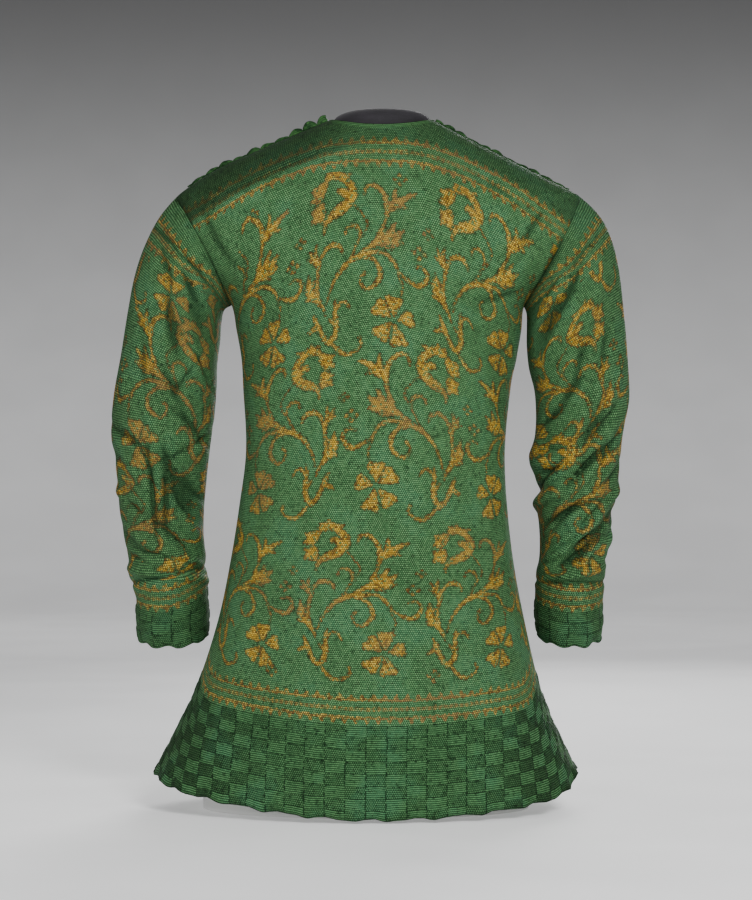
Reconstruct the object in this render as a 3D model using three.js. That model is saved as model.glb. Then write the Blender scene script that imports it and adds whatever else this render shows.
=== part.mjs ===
// A knitted jacket on a limbless dress form, in millimetres with +Z up.
// The jacket's back faces -Y and its open front +Y. Its left sleeve is at -X.
// The form stands on z = 0. Every cloth piece is a wall laid on its middle surface.
import * as THREE from "three";

// ---- Driving sizes ----

const cloth = { thickness: 2, seamGap: 0.3, squareRelief: 0.5, frontGap: 1.5 };

const neck = { halfWidth: 50, cornerZ: 657, backZ: 649.5, frontZ: 624 };

const shoulder = { halfWidth: 194, z: 584, bendHalfWidth: 140 };

// The left shoulder slopes less than the right one, and drops more where it nears the sleeve.
const shoulderLines = {
  left: { slope: 0.44, bendDrop: 9.6 },
  right: { slope: 0.502, bendDrop: 0.7 },
};

const armhole = { halfWidth: 140, z: 482, halfDepth: 48, roundness: 0.8 };

// How far each armhole seam stands outside its straight line.
const armholeBow = { left: -3, right: 3 };

const hem = { centreZ: 3, scallop: 1.2 };

// How the hem rises from the middle to each side seam: in a long curve, then at the corner.
const hemRises = {
  left: { side: 25, bend: 1.5, corner: 7.3 },
  right: { side: 16, bend: 2, corner: 16.3 },
};

// The knitted rows: where the topmost one lies at the middle of each face, how its shape
// follows the shoulders and fades down the cloth, and how sharply the hem's corners turn up.
const rowShape = {
  back: 654, front: 642, shoulderBend: 1.4, settledBy: 0.2, fade: 1.6, cornerSharpness: 20,
};

// How the columns spread: the turn they cover at the top and lower down in degrees, how much
// they crowd to the sides, and where along the cloth they have settled.
const columnSpread = { topTurn: 58, lowTurn: 90, crowding: 0.07, settledBy: 0.12, turnedBy: 0.2 };

// Below 1 the cross-sections are fuller than an ellipse.
const sectionFullness = 0.92;

// Cross-sections of the body, from the neck down to the hem.
const bodySections = [
  { z: 662, halfWidth: 50.0, centreX: 12.0, back: 45, front: 44 },
  { z: 649, halfWidth: 70.0, centreX: 10.2, back: 52, front: 48 },
  { z: 630, halfWidth: 108.0, centreX: 8.4, back: 65, front: 58 },
  { z: 610, halfWidth: 148.0, centreX: 8.1, back: 76, front: 72 },
  { z: 584, halfWidth: 195.0, centreX: 8.2, back: 88, front: 87 },
  { z: 550, halfWidth: 189.0, centreX: 7.9, back: 97, front: 98 },
  { z: 515, halfWidth: 161.0, centreX: 7.8, back: 101, front: 104 },
  { z: 482, halfWidth: 140.0, centreX: 7.7, back: 101, front: 107 },
  { z: 457, halfWidth: 135.7, centreX: 8.6, back: 99, front: 104 },
  { z: 430, halfWidth: 131.2, centreX: 8.6, back: 96, front: 100 },
  { z: 404, halfWidth: 127.7, centreX: 6.8, back: 93, front: 97 },
  { z: 344, halfWidth: 123.3, centreX: 5.3, back: 89, front: 93 },
  { z: 294, halfWidth: 127.0, centreX: 3.3, back: 96, front: 98 },
  { z: 237, halfWidth: 134.5, centreX: 1.9, back: 110, front: 112 },
  { z: 180, halfWidth: 145.7, centreX: 1.2, back: 124, front: 125 },
  { z: 116, halfWidth: 163.6, centreX: -1.6, back: 138, front: 138 },
  { z: 76, halfWidth: 181.0, centreX: -3.2, back: 145, front: 145 },
  { z: 34.8, halfWidth: 201.6, centreX: -4.0, back: 150, front: 150 },
  { z: 0, halfWidth: 216.0, centreX: -4.0, back: 154, front: 154 },
];

// Each row is a ring of the sleeve, from below the armhole down to the cuff's edge: where the
// cloth's outside lies on its outer and inner sides, its depth, and how the arm bends forward.
const sleeveRings = {
  left: [
    { outX: 203.5, outZ: 563, inX: 139.5, inZ: 477, depth: 50, forward: 0, tilt: 0 },
    { outX: 216.5, outZ: 537, inX: 142.5, inZ: 464, depth: 51, forward: 0, tilt: 0 },
    { outX: 226, outZ: 508, inX: 143.8, inZ: 446, depth: 52, forward: 0, tilt: 0 },
    { outX: 232.5, outZ: 474, inX: 146.5, inZ: 424, depth: 51, forward: 0, tilt: 0 },
    { outX: 239, outZ: 434, inX: 147.3, inZ: 400, depth: 49.5, forward: 1, tilt: 0.02 },
    { outX: 246.5, outZ: 392, inX: 149.5, inZ: 374, depth: 48, forward: 3, tilt: 0.05 },
    { outX: 248.7, outZ: 354, inX: 153.5, inZ: 346, depth: 46, forward: 6, tilt: 0.1 },
    { outX: 243.5, outZ: 315, inX: 157.3, inZ: 314, depth: 43, forward: 11, tilt: 0.15 },
    { outX: 240.5, outZ: 273, inX: 160.5, inZ: 275, depth: 40, forward: 18, tilt: 0.2 },
    { outX: 234, outZ: 240, inX: 160.5, inZ: 242, depth: 38, forward: 26, tilt: 0.24 },
    { outX: 232, outZ: 217, inX: 157.5, inZ: 219, depth: 38, forward: 31, tilt: 0.26 },
    { outX: 227, outZ: 200, inX: 157.5, inZ: 203, depth: 35, forward: 34, tilt: 0.27 },
    { outX: 227.3, outZ: 186, inX: 156.5, inZ: 189, depth: 35.5, forward: 37, tilt: 0.27 },
    { outX: 227, outZ: 173, inX: 156.3, inZ: 176, depth: 36, forward: 40, tilt: 0.27 },
    { outX: 225, outZ: 160.5, inX: 157.5, inZ: 163, depth: 35.5, forward: 43, tilt: 0.27 },
  ],
  right: [
    { outX: 221.5, outZ: 565, inX: 150.2, inZ: 473, depth: 50, forward: 0, tilt: 0 },
    { outX: 232, outZ: 543, inX: 150.5, inZ: 459, depth: 51, forward: 0, tilt: 0 },
    { outX: 239, outZ: 514, inX: 150.5, inZ: 442, depth: 52, forward: 0, tilt: 0 },
    { outX: 243.6, outZ: 474.5, inX: 152.5, inZ: 421, depth: 51, forward: 0, tilt: 0 },
    { outX: 247.3, outZ: 432, inX: 158, inZ: 398, depth: 49, forward: 1, tilt: 0.02 },
    { outX: 248.8, outZ: 392, inX: 159.5, inZ: 373, depth: 47, forward: 3, tilt: 0.05 },
    { outX: 242.5, outZ: 354, inX: 158.5, inZ: 347, depth: 45, forward: 6, tilt: 0.1 },
    { outX: 239, outZ: 313, inX: 160, inZ: 313, depth: 43, forward: 11, tilt: 0.15 },
    { outX: 234, outZ: 270, inX: 163, inZ: 274, depth: 40, forward: 18, tilt: 0.2 },
    { outX: 227.5, outZ: 238, inX: 164, inZ: 242, depth: 37.5, forward: 26, tilt: 0.24 },
    { outX: 227.5, outZ: 214, inX: 160.5, inZ: 216, depth: 37.5, forward: 31, tilt: 0.26 },
    { outX: 226, outZ: 199, inX: 160, inZ: 201, depth: 35, forward: 34, tilt: 0.27 },
    { outX: 226, outZ: 186, inX: 159.5, inZ: 188, depth: 35.5, forward: 37, tilt: 0.27 },
    { outX: 226, outZ: 173, inX: 160.5, inZ: 175, depth: 36, forward: 40, tilt: 0.27 },
    { outX: 224, outZ: 161, inX: 163, inZ: 163, depth: 35, forward: 43, tilt: 0.27 },
  ],
};

// Soft folds of the sleeves. turn is in degrees round the sleeve: 0 outside, 90 at the back,
// 180 inside, 270 at the front. slope is in degrees: 0 runs round, 90 runs down the arm.
const sleeveFolds = {
  left: [
    { turn: 120, z: 470, slope: 60, length: 30, width: 9, lift: -3 },
    { turn: 95, z: 450, slope: 70, length: 26, width: 7, lift: -2.5 },
    { turn: 88, z: 292, slope: 82, length: 34, width: 8, lift: -3 },
    { turn: 118, z: 300, slope: 60, length: 30, width: 15, lift: -3.5 },
    { turn: 20, z: 335, slope: 10, length: 24, width: 9, lift: -2.5 },
    { turn: 30, z: 262, slope: 25, length: 26, width: 9, lift: -2.5 },
    { turn: 150, z: 262, slope: 40, length: 24, width: 9, lift: 3 },
    { turn: 255, z: 330, slope: -35, length: 34, width: 9, lift: -3.5 },
    { turn: 280, z: 300, slope: -40, length: 30, width: 8, lift: 3 },
    { turn: 240, z: 455, slope: -60, length: 30, width: 9, lift: -3 },
  ],
  right: [
    { turn: 125, z: 465, slope: 60, length: 28, width: 9, lift: -4 },
    { turn: 78, z: 366, slope: 58, length: 22, width: 7, lift: -4 },
    { turn: 62, z: 345, slope: 50, length: 42, width: 8, lift: 3.5 },
    { turn: 76, z: 334, slope: 45, length: 30, width: 7, lift: -4.5 },
    { turn: 105, z: 307, slope: 26, length: 46, width: 8, lift: 4 },
    { turn: 176, z: 334, slope: 8, length: 26, width: 13, lift: 6.5 },
    { turn: 172, z: 305, slope: 14, length: 24, width: 6, lift: -5 },
    { turn: 176, z: 291, slope: 12, length: 24, width: 7, lift: 5 },
    { turn: 86, z: 257, slope: 25, length: 24, width: 6, lift: -4 },
    { turn: 92, z: 239, slope: 34, length: 26, width: 6, lift: -4 },
    { turn: 15, z: 280, slope: 10, length: 22, width: 8, lift: -4 },
    { turn: 15, z: 255, slope: 20, length: 24, width: 8, lift: 3 },
    { turn: 265, z: 345, slope: -35, length: 38, width: 8, lift: -4 },
    { turn: 275, z: 315, slope: -38, length: 38, width: 8, lift: 4 },
    { turn: 250, z: 258, slope: -28, length: 30, width: 7, lift: -4 },
    { turn: 240, z: 460, slope: -60, length: 28, width: 9, lift: -3.5 },
  ],
};

// Soft folds of the body, placed by their distance from the middle and their height.
const bodyFolds = {
  back: [
    { x: -104, z: 452, slope: 62, length: 42, width: 12, lift: -3 },
    { x: 112, z: 446, slope: -64, length: 46, width: 12, lift: -3.5 },
    { x: -92, z: 330, slope: 35, length: 40, width: 16, lift: -2 },
    { x: 92, z: 318, slope: -30, length: 40, width: 16, lift: -2 },
    { x: -112, z: 92, slope: 80, length: 80, width: 22, lift: -4 },
    { x: -46, z: 80, slope: 86, length: 84, width: 20, lift: 3 },
    { x: 38, z: 76, slope: -86, length: 80, width: 22, lift: -3 },
    { x: 120, z: 90, slope: -80, length: 84, width: 24, lift: 3 },
  ],
  front: [
    { x: -100, z: 450, slope: 60, length: 42, width: 12, lift: -3 },
    { x: 104, z: 448, slope: -60, length: 42, width: 12, lift: -3 },
    { x: -70, z: 330, slope: 20, length: 40, width: 14, lift: -2.5 },
    { x: 72, z: 322, slope: -22, length: 40, width: 14, lift: -2.5 },
    { x: -104, z: 86, slope: 80, length: 84, width: 24, lift: 3.5 },
    { x: -50, z: 80, slope: 84, length: 80, width: 20, lift: -3 },
    { x: 54, z: 84, slope: -84, length: 80, width: 20, lift: -3 },
    { x: 116, z: 86, slope: -80, length: 84, width: 24, lift: 3.5 },
  ],
};

// The dress form's cross-sections below its shoulders.
const formSections = [
  { z: 0, halfWidth: 156, back: 112, front: 108 },
  { z: 60, halfWidth: 155, back: 113, front: 107 },
  { z: 120, halfWidth: 148, back: 110, front: 104 },
  { z: 180, halfWidth: 137, back: 104, front: 100 },
  { z: 240, halfWidth: 126, back: 94, front: 93 },
  { z: 300, halfWidth: 119, back: 85, front: 87 },
  { z: 344, halfWidth: 116, back: 80, front: 84 },
  { z: 404, halfWidth: 119, back: 83, front: 87 },
  { z: 457, halfWidth: 126, back: 88, front: 92 },
  { z: 490, halfWidth: 133, back: 90, front: 94 },
  { z: 520, halfWidth: 145, back: 90, front: 91 },
  { z: 550, halfWidth: 154, back: 86, front: 86 },
  { z: 575, halfWidth: 156, back: 79, front: 78 },
  { z: 590, halfWidth: 153, back: 73, front: 71 },
];

const formNeck = { halfWidth: 46.5, halfDepth: 45, footZ: 650, capZ: 654, topZ: 668.4 };

// How far the form's shoulder line lies under the jacket's, how much leaner than an ellipse
// its cross-sections are there, and how far its faces lie inside the jacket's, low and high.
const formShoulder = { drop: 2.1, leanness: 1.1, lowInset: 15, highInset: 7, highZ: 645, rounding: 0.35 };

const formRings = {
  columns: 32,
  heights: [
    0, 40, 80, 120, 160, 200, 240, 290, 344, 400, 450, 490, 520, 545, 565, 580, 590,
    598, 606, 612, 618, 626, 634, 642, 647,
  ],
  neckFoot: 1.06,
  capRises: [0, 0.3, 0.6, 0.82, 0.95],
};

// The selvedge that stands on each shoulder seam, with its height at the neck and the sleeve.
// Its height swings by unevenness, and its foot sways less than its edge.
const frillShape = { unevenness: 0.35, footSway: 0.3, fall: 0.6, neckEnd: 1, armEnd: 12 };
const frills = {
  left: { thickness: 1.4, neckHeight: 5, armHeight: 1.4, sway: 2.2, waves: 13 },
  right: { thickness: 1.4, neckHeight: 2.8, armHeight: 1, sway: 1.5, waves: 15 },
};

// ---- Grids: rows run down the cloth, columns across it ----

// Places of the armhole rows, as parts of the way from the shoulder point to the underarm.
const armholeSteps = [0, 0.03, 0.1, 0.2, 0.31, 0.42, 0.53, 0.64, 0.76, 0.88, 1];
const plainRowCount = 11;
const squareRowCount = 7;
const squareRowHeight = 0.0195;
const halfColumns = 14;
const neckColumns = 4;
const cuffSquareFrom = 13;

// The ring by which the armhole's pointed shape has rounded into the sleeve.
const roundRing = 2.5;

// Mean radius of a sleeve, to measure its folds round it.
const sleeveRadius = 43;

const green = { color: 0x2f7a4a, roughness: 0.85, metalness: 0 };
const charcoal = { color: 0x2b2730, roughness: 0.95, metalness: 0 };

// ---- Small helpers ----

const mix = (a, b, t) => a + (b - a) * t;

function ease(from, to, value) {
  const t = Math.min(1, Math.max(0, (value - from) / (to - from)));
  return t * t * (3 - 2 * t);
}

// A smooth curve through one column of a table, whose rows lie at the given places.
function curveThrough(places, values, place) {
  const last = places.length - 1;
  const way = Math.sign(places[last] - places[0]);
  let row = 0;
  while (row < last - 1 && (place - places[row + 1]) * way > 0) row += 1;
  const slopeAt = (index) => {
    const before = Math.max(0, index - 1);
    const after = Math.min(last, index + 1);
    return (values[after] - values[before]) / (places[after] - places[before]);
  };
  const span = places[row + 1] - places[row];
  const t = Math.min(1.5, Math.max(-0.5, (place - places[row]) / span));
  const t2 = t * t;
  const t3 = t2 * t;
  return (
    (2 * t3 - 3 * t2 + 1) * values[row] +
    (t3 - 2 * t2 + t) * span * slopeAt(row) +
    (3 * t2 - 2 * t3) * values[row + 1] +
    (t3 - t2) * span * slopeAt(row + 1)
  );
}

function sectionAt(sections, key, z) {
  return curveThrough(sections.map((row) => row.z), sections.map((row) => row[key]), z);
}

// Height of one soft fold, for a point at (along x, along z) from the fold's middle.
function foldHeight(fold, across, up) {
  const angle = THREE.MathUtils.degToRad(fold.slope);
  const along = across * Math.cos(angle) + up * Math.sin(angle);
  const aside = -across * Math.sin(angle) + up * Math.cos(angle);
  return fold.lift * Math.exp(-((aside / fold.width) ** 2) - (along / fold.length) ** 2);
}

// ---- The body's middle surface ----

const sideOf = (x) => (x < 0 ? "left" : "right");

// The shoulder line, straight from the neck and bending down near the sleeve.
function shoulderLineZ(side, x) {
  const past = Math.max(0, x - shoulder.bendHalfWidth);
  const bendLength = shoulder.halfWidth - shoulder.bendHalfWidth;
  const straight = neck.cornerZ - shoulderLines[side].slope * (x - neck.halfWidth);
  return straight - shoulderLines[side].bendDrop * (past / bendLength) ** 2;
}

function shoulderLineX(side, z) {
  let low = 0;
  let high = shoulder.halfWidth + 5;
  for (let step = 0; step < 40; step += 1) {
    const middle = (low + high) / 2;
    if (shoulderLineZ(side, middle) > z) low = middle;
    else high = middle;
  }
  return low;
}

// A point of the armhole seam, step 0 at the shoulder and 1 at the underarm.
function armholePoint(side, face, step) {
  const sign = side === "left" ? -1 : 1;
  const out = face === "back" ? -1 : 1;
  const z = mix(shoulder.z, armhole.z, step);
  const bow = armholeBow[side] * Math.sin(Math.PI * step);
  const halfWidth = mix(shoulder.halfWidth, armhole.halfWidth, step) + bow;
  const depth = armhole.halfDepth * Math.sin(Math.PI * step) ** armhole.roundness;
  return new THREE.Vector3(sectionAt(bodySections, "centreX", z) + sign * halfWidth, out * depth, z);
}

// The half width that the body's cross-section has at a height. Beside the armhole it is
// the one whose surface passes through the armhole seam.
function halfWidthAt(side, face, z) {
  if (z >= shoulder.z) return shoulderLineX(side, z);
  if (z <= armhole.z) return sectionAt(bodySections, "halfWidth", z);
  const step = (shoulder.z - z) / (shoulder.z - armhole.z);
  const edge = armholePoint(side, face, step);
  const deep = Math.abs(edge.y) / sectionAt(bodySections, face, z);
  const wide = Math.abs(edge.x - sectionAt(bodySections, "centreX", z));
  return wide / Math.sqrt(1 - deep ** (2 / sectionFullness));
}

// The depth of the body's surface at a distance from its middle and a height.
function bodyY(face, x, z) {
  const wide = halfWidthAt(sideOf(x), face, z);
  const open = Math.max(0, 1 - (x / wide) ** 2);
  const out = face === "back" ? -1 : 1;
  return out * sectionAt(bodySections, face, z) * open ** (sectionFullness / 2);
}

function topEdgeZ(side, face, x) {
  if (x >= neck.halfWidth) return shoulderLineZ(side, x);
  const middle = face === "back" ? neck.backZ : neck.frontZ;
  return mix(middle, neck.cornerZ, (x / neck.halfWidth) ** 2);
}

// The height of a knitted row. across runs from 0 at the middle to 1 at the edge, and
// down from 0 at the neck and shoulders to 1 at the hem.
function rowZ(side, face, across, down) {
  const top = topEdgeZ(side, face, across * shoulder.halfWidth);
  const settled = mix(rowShape[face], shoulder.z, across ** rowShape.shoulderBend);
  const topShape = mix(top, settled, ease(0, rowShape.settledBy, down)) - rowShape[face];
  const rise = hemRises[side];
  const corner = rise.corner * across ** rowShape.cornerSharpness;
  const hemShape = rise.side * across ** rise.bend + corner;
  const middle = mix(rowShape[face], hem.centreZ, down);
  return middle + topShape * (1 - down) ** rowShape.fade + hemShape * down;
}

// How far down the cloth the row lies whose edges have a given height, left and right alike.
function downAtEdge(face, z) {
  let low = 0;
  let high = 1;
  for (let step = 0; step < 40; step += 1) {
    const middle = (low + high) / 2;
    if (rowZ("left", face, 1, middle) > z) low = middle;
    else high = middle;
  }
  return (low + high) / 2;
}

function rowHalfWidth(side, face, down) {
  const z = rowZ(side, face, 1, down);
  if (z <= armhole.z) return sectionAt(bodySections, "halfWidth", z);
  const edge = armholePoint(side, face, (shoulder.z - z) / (shoulder.z - armhole.z));
  return Math.abs(edge.x - sectionAt(bodySections, "centreX", z));
}

// Where a column lies across its row, as a part of the row's half width. The columns crowd
// towards the neck corner at the top and are evenly spaced round the body lower down.
function columnAcross(column, down) {
  const share = column / halfColumns;
  const { topTurn, lowTurn, crowding, settledBy, turnedBy } = columnSpread;
  const turn = THREE.MathUtils.degToRad(mix(topTurn, lowTurn, ease(0.05, turnedBy, down)));
  const even = (part) => Math.sin(part * turn - crowding * Math.sin(2 * part * turn));
  const settled = even(share) / even(1);
  const neckShare = neck.halfWidth / shoulder.halfWidth;
  const top =
    column <= neckColumns
      ? neckShare * Math.sin((Math.PI / 2) * (column / neckColumns))
      : mix(neckShare, 1, (column - neckColumns) / (halfColumns - neckColumns));
  return mix(top, settled, ease(0, settledBy, down));
}

function bodyPoint(face, column, down) {
  const sign = column < 0 ? -1 : 1;
  const across = columnAcross(Math.abs(column), down);
  const z = rowZ(sideOf(column), face, across, down);
  const x = sign * across * rowHalfWidth(sideOf(column), face, down);
  return new THREE.Vector3(x + sectionAt(bodySections, "centreX", z), bodyY(face, x, z), z);
}

// ---- The sleeve's middle surface ----

// Columns 0 to 10 run round the back from the outside to the inside, 10 to 20 the front.
const sleeveHalfColumns = armholeSteps.length - 1;
const sleeveColumns = 2 * sleeveHalfColumns;

// The rings of the sleeve's middle surface. The first one is the armhole itself.
function middleRings(side) {
  const half = cloth.thickness / 2;
  const top = armholePoint(side, "back", 0);
  const low = armholePoint(side, "back", 1);
  const first = { outX: Math.abs(top.x), outZ: top.z, inX: Math.abs(low.x), inZ: low.z };
  const below = sleeveRings[side].map((row) => {
    return { ...row, outX: row.outX - half, inX: row.inX + half };
  });
  return [{ ...first, depth: armhole.halfDepth, forward: 0, tilt: 0 }, ...below];
}

const sleeveRows = { left: middleRings("left"), right: middleRings("right") };

function ringAt(side, key, ring) {
  const rows = sleeveRows[side];
  return curveThrough(rows.map((row, index) => index), rows.map((row) => row[key]), ring);
}

function sleevePoint(side, column, ring) {
  const sign = side === "left" ? -1 : 1;
  const wrapped = ((column % sleeveColumns) + sleeveColumns) % sleeveColumns;
  const out = wrapped <= sleeveHalfColumns ? -1 : 1;
  const half = out < 0 ? wrapped : sleeveColumns - wrapped;
  const turn = (Math.PI * half) / sleeveHalfColumns;
  const step = armholeSteps[half];
  const rounding = ease(0, roundRing, ring);
  const inward = mix(step, (1 - Math.cos(turn)) / 2, rounding);
  const deep = mix(Math.sin(Math.PI * step) ** armhole.roundness, Math.sin(turn), rounding);
  const bow = armholeBow[side] * Math.sin(Math.PI * step) * (1 - rounding);
  const y = out * Math.max(0, deep) * ringAt(side, "depth", ring);
  const tilt = ringAt(side, "tilt", ring);
  const x = mix(ringAt(side, "outX", ring), ringAt(side, "inX", ring), inward) + bow;
  const z = mix(ringAt(side, "outZ", ring), ringAt(side, "inZ", ring), inward) + tilt * y;
  return new THREE.Vector3(sign * x, y + ringAt(side, "forward", ring), z);
}

function sleeveFoldHeight(side, column, z) {
  const turn = (column * 360) / sleeveColumns;
  let height = 0;
  for (const fold of sleeveFolds[side]) {
    const apart = ((turn - fold.turn + 540) % 360) - 180;
    height += foldHeight(fold, THREE.MathUtils.degToRad(apart) * sleeveRadius, fold.z - z);
  }
  return height;
}

// ---- Directions across the seams ----

function shoulderNormal(sign, x) {
  const side = sideOf(sign);
  const fall = (shoulderLineZ(side, x - 2) - shoulderLineZ(side, x + 2)) / 4;
  return new THREE.Vector3(sign * fall, 0, 1).normalize();
}

function sideNormal(sign, z) {
  const above = sectionAt(bodySections, "halfWidth", z + 1);
  const below = sectionAt(bodySections, "halfWidth", z - 1);
  return new THREE.Vector3(sign, 0, (below - above) / 2).normalize();
}

function bodyNormal(face, point) {
  const centre = sectionAt(bodySections, "centreX", point.z);
  const x = point.x - centre;
  const small = 0.5;
  const slopeX = (bodyY(face, x + small, point.z) - bodyY(face, x - small, point.z)) / (2 * small);
  const slopeZ = (bodyY(face, x, point.z + small) - bodyY(face, x, point.z - small)) / (2 * small);
  const normal = new THREE.Vector3(slopeX, -1, slopeZ).normalize();
  return face === "back" ? normal : normal.negate();
}

// The armhole seam at one of its rows: both walls end there on one mitred face, whose
// direction is rise. across points from the body to the sleeve.
function armholeSeam(side, face, row) {
  const near = 0.3;
  const longestMitre = 1.3;
  const sign = side === "left" ? -1 : 1;
  const column = face === "back" ? row : sleeveColumns - row;
  const point = sleevePoint(side, column, 0);
  const along = sleevePoint(side, column + 1, 0).sub(sleevePoint(side, column - 1, 0)).normalize();
  const outward = sleevePoint(side, column, near).sub(point);
  const middle = sleevePoint(side, 0, near).lerp(sleevePoint(side, sleeveHalfColumns, near), 0.5);
  const sleeveNormal = outward.clone().cross(along).normalize();
  if (sleeveNormal.dot(point.clone().sub(middle)) < 0) sleeveNormal.negate();
  let panelNormal = bodyNormal(face, point);
  if (row === 0) panelNormal = shoulderNormal(sign, shoulder.halfWidth);
  if (row === sleeveHalfColumns) panelNormal = sideNormal(sign, armhole.z);
  const rise = panelNormal.clone().add(sleeveNormal);
  rise.addScaledVector(along, -rise.dot(along)).normalize();
  const across = rise.clone().cross(along).normalize();
  if (across.dot(outward) < 0) across.negate();
  const reach = Math.min(longestMitre, 1 / Math.max(0.1, rise.dot(panelNormal)));
  return { point, across, rise: rise.multiplyScalar(reach) };
}

// ---- Walls ----

// A closed wall on a grid of middle points. Its outer face may be raised, and a tube's
// columns run on from the last to the first.
function makeWall(name, grid, { tube = false, raised = () => 0, material = green }) {
  const rows = grid.length;
  const columns = grid[0].length;
  const positions = [];
  const half = cloth.thickness / 2;
  for (const side of [1, -1]) {
    grid.forEach((line, row) => {
      line.forEach(({ point, normal }, column) => {
        const lift = side > 0 ? half + raised(row, column) : -half;
        positions.push(...point.clone().addScaledVector(normal, lift).toArray());
      });
    });
  }
  const at = (side, row, column) => (side * rows + row) * columns + (column % columns);
  const faces = [];
  const quad = (a, b, c, d) => faces.push(a, b, c, a, c, d);
  const spans = tube ? columns : columns - 1;
  for (let row = 0; row < rows - 1; row += 1) {
    for (let column = 0; column < spans; column += 1) {
      const corners = (side) => [
        at(side, row, column), at(side, row + 1, column),
        at(side, row + 1, column + 1), at(side, row, column + 1),
      ];
      quad(...corners(0));
      quad(...corners(1).reverse());
    }
    if (!tube) {
      const end = columns - 1;
      quad(at(0, row, 0), at(1, row, 0), at(1, row + 1, 0), at(0, row + 1, 0));
      quad(at(0, row, end), at(0, row + 1, end), at(1, row + 1, end), at(1, row, end));
    }
  }
  for (let column = 0; column < spans; column += 1) {
    const end = rows - 1;
    quad(at(0, 0, column), at(0, 0, column + 1), at(1, 0, column + 1), at(1, 0, column));
    quad(at(0, end, column), at(1, end, column), at(1, end, column + 1), at(0, end, column + 1));
  }
  return makeMesh(name, positions, faces, material);
}

// Names a closed mesh, turning its faces outward first.
function makeMesh(name, positions, faces, material) {
  const corner = (index) => new THREE.Vector3().fromArray(positions, 3 * index);
  let volume = 0;
  for (let index = 0; index < faces.length; index += 3) {
    const [a, b, c] = faces.slice(index, index + 3).map(corner);
    volume += a.dot(b.cross(c));
  }
  const geometry = new THREE.BufferGeometry();
  geometry.setAttribute("position", new THREE.Float32BufferAttribute(positions, 3));
  geometry.setIndex(volume < 0 ? faces.slice().reverse() : faces);
  geometry.computeVertexNormals();
  const mesh = new THREE.Mesh(geometry, new THREE.MeshStandardMaterial(material));
  mesh.name = name;
  return mesh;
}

// Gives every point of a grid the direction across the surface, away from inside(row).
function withNormals(points, inside, tube) {
  const rows = points.length;
  const columns = points[0].length;
  const columnAt = (row, column) => {
    const wrapped = (column + columns) % columns;
    return points[row][tube ? wrapped : Math.min(columns - 1, Math.max(0, column))];
  };
  return points.map((line, row) =>
    line.map((point, column) => {
      const down = points[Math.min(rows - 1, row + 1)][column].clone();
      down.sub(points[Math.max(0, row - 1)][column]);
      const across = columnAt(row, column + 1).clone().sub(columnAt(row, column - 1));
      const normal = across.cross(down).normalize();
      if (normal.dot(point.clone().sub(inside(row))) < 0) normal.negate();
      return { point, normal };
    }),
  );
}

// ---- Body panels ----

function panelRows(face) {
  const rows = armholeSteps.map((step) => downAtEdge(face, mix(shoulder.z, armhole.z, step)));
  const squaresFrom = 1 - (squareRowCount - 0.5) * squareRowHeight;
  const underarm = rows[rows.length - 1];
  for (let row = 1; row <= plainRowCount; row += 1) {
    rows.push(mix(underarm, squaresFrom, row / (plainRowCount + 0.4)));
  }
  for (let row = 0; row < squareRowCount; row += 1) rows.push(squaresFrom + row * squareRowHeight);
  rows.push(1);
  return rows;
}

function makePanel(name, face, firstColumn, lastColumn) {
  const rows = panelRows(face);
  const out = face === "back" ? -1 : 1;
  const halfGap = cloth.seamGap / 2;
  const calmness = 6;
  const columns = [];
  for (let column = firstColumn; column <= lastColumn; column += 1) columns.push(column);
  const sign = lastColumn <= 0 ? -1 : 1;

  const points = rows.map((down) =>
    columns.map((column) => {
      const point = bodyPoint(face, column === 0 ? sign * 1e-6 : column, down);
      if (face === "front" && column === 0) point.x += (sign * cloth.frontGap) / 2;
      point.z += down === 1 ? hem.scallop * (column % 2 ? 1 : -1) : 0;
      return point;
    }),
  );
  const middle = (row) => new THREE.Vector3(0, 0, points[row][0].z);
  let grid = withNormals(points, middle, false);
  grid.forEach((line, row) => {
    line.forEach(({ point, normal }, place) => {
      const calm = 1 - Math.abs(columns[place] / halfColumns) ** calmness;
      let lift = 0;
      for (const fold of bodyFolds[face]) {
        lift += foldHeight(fold, point.x - fold.x, point.z - fold.z);
      }
      if (rows[row] > rows[2]) point.addScaledVector(normal, lift * calm);
    });
  });
  grid = withNormals(points, middle, false);

  grid.forEach((line, row) => {
    line.forEach((place, index) => {
      const column = columns[index];
      const way = column < 0 ? -1 : 1;
      const atEdge = Math.abs(column) === halfColumns;
      const onShoulder = row === 0 && Math.abs(column) >= neckColumns;
      if (atEdge && row < armholeSteps.length) {
        const seam = armholeSeam(way < 0 ? "left" : "right", face, row);
        place.point.copy(seam.point).addScaledVector(seam.across, -halfGap);
        place.normal = seam.rise;
      } else if (atEdge) {
        place.normal = sideNormal(way, place.point.z);
      } else if (onShoulder) {
        const centre = sectionAt(bodySections, "centreX", place.point.z);
        place.normal = shoulderNormal(way, Math.abs(place.point.x - centre));
      }
      const inSeam = onShoulder || (atEdge && row >= armholeSteps.length - 1);
      if (inSeam) place.point.y = out * halfGap;
    });
  });

  const firstSquareRow = rows.length - 1 - squareRowCount;
  const raised = (row, index) =>
    row >= firstSquareRow && (row + columns[index] + 2 * halfColumns) % 2 ? cloth.squareRelief : 0;
  return makeWall(name, grid, { raised });
}

// ---- Sleeves ----

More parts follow.
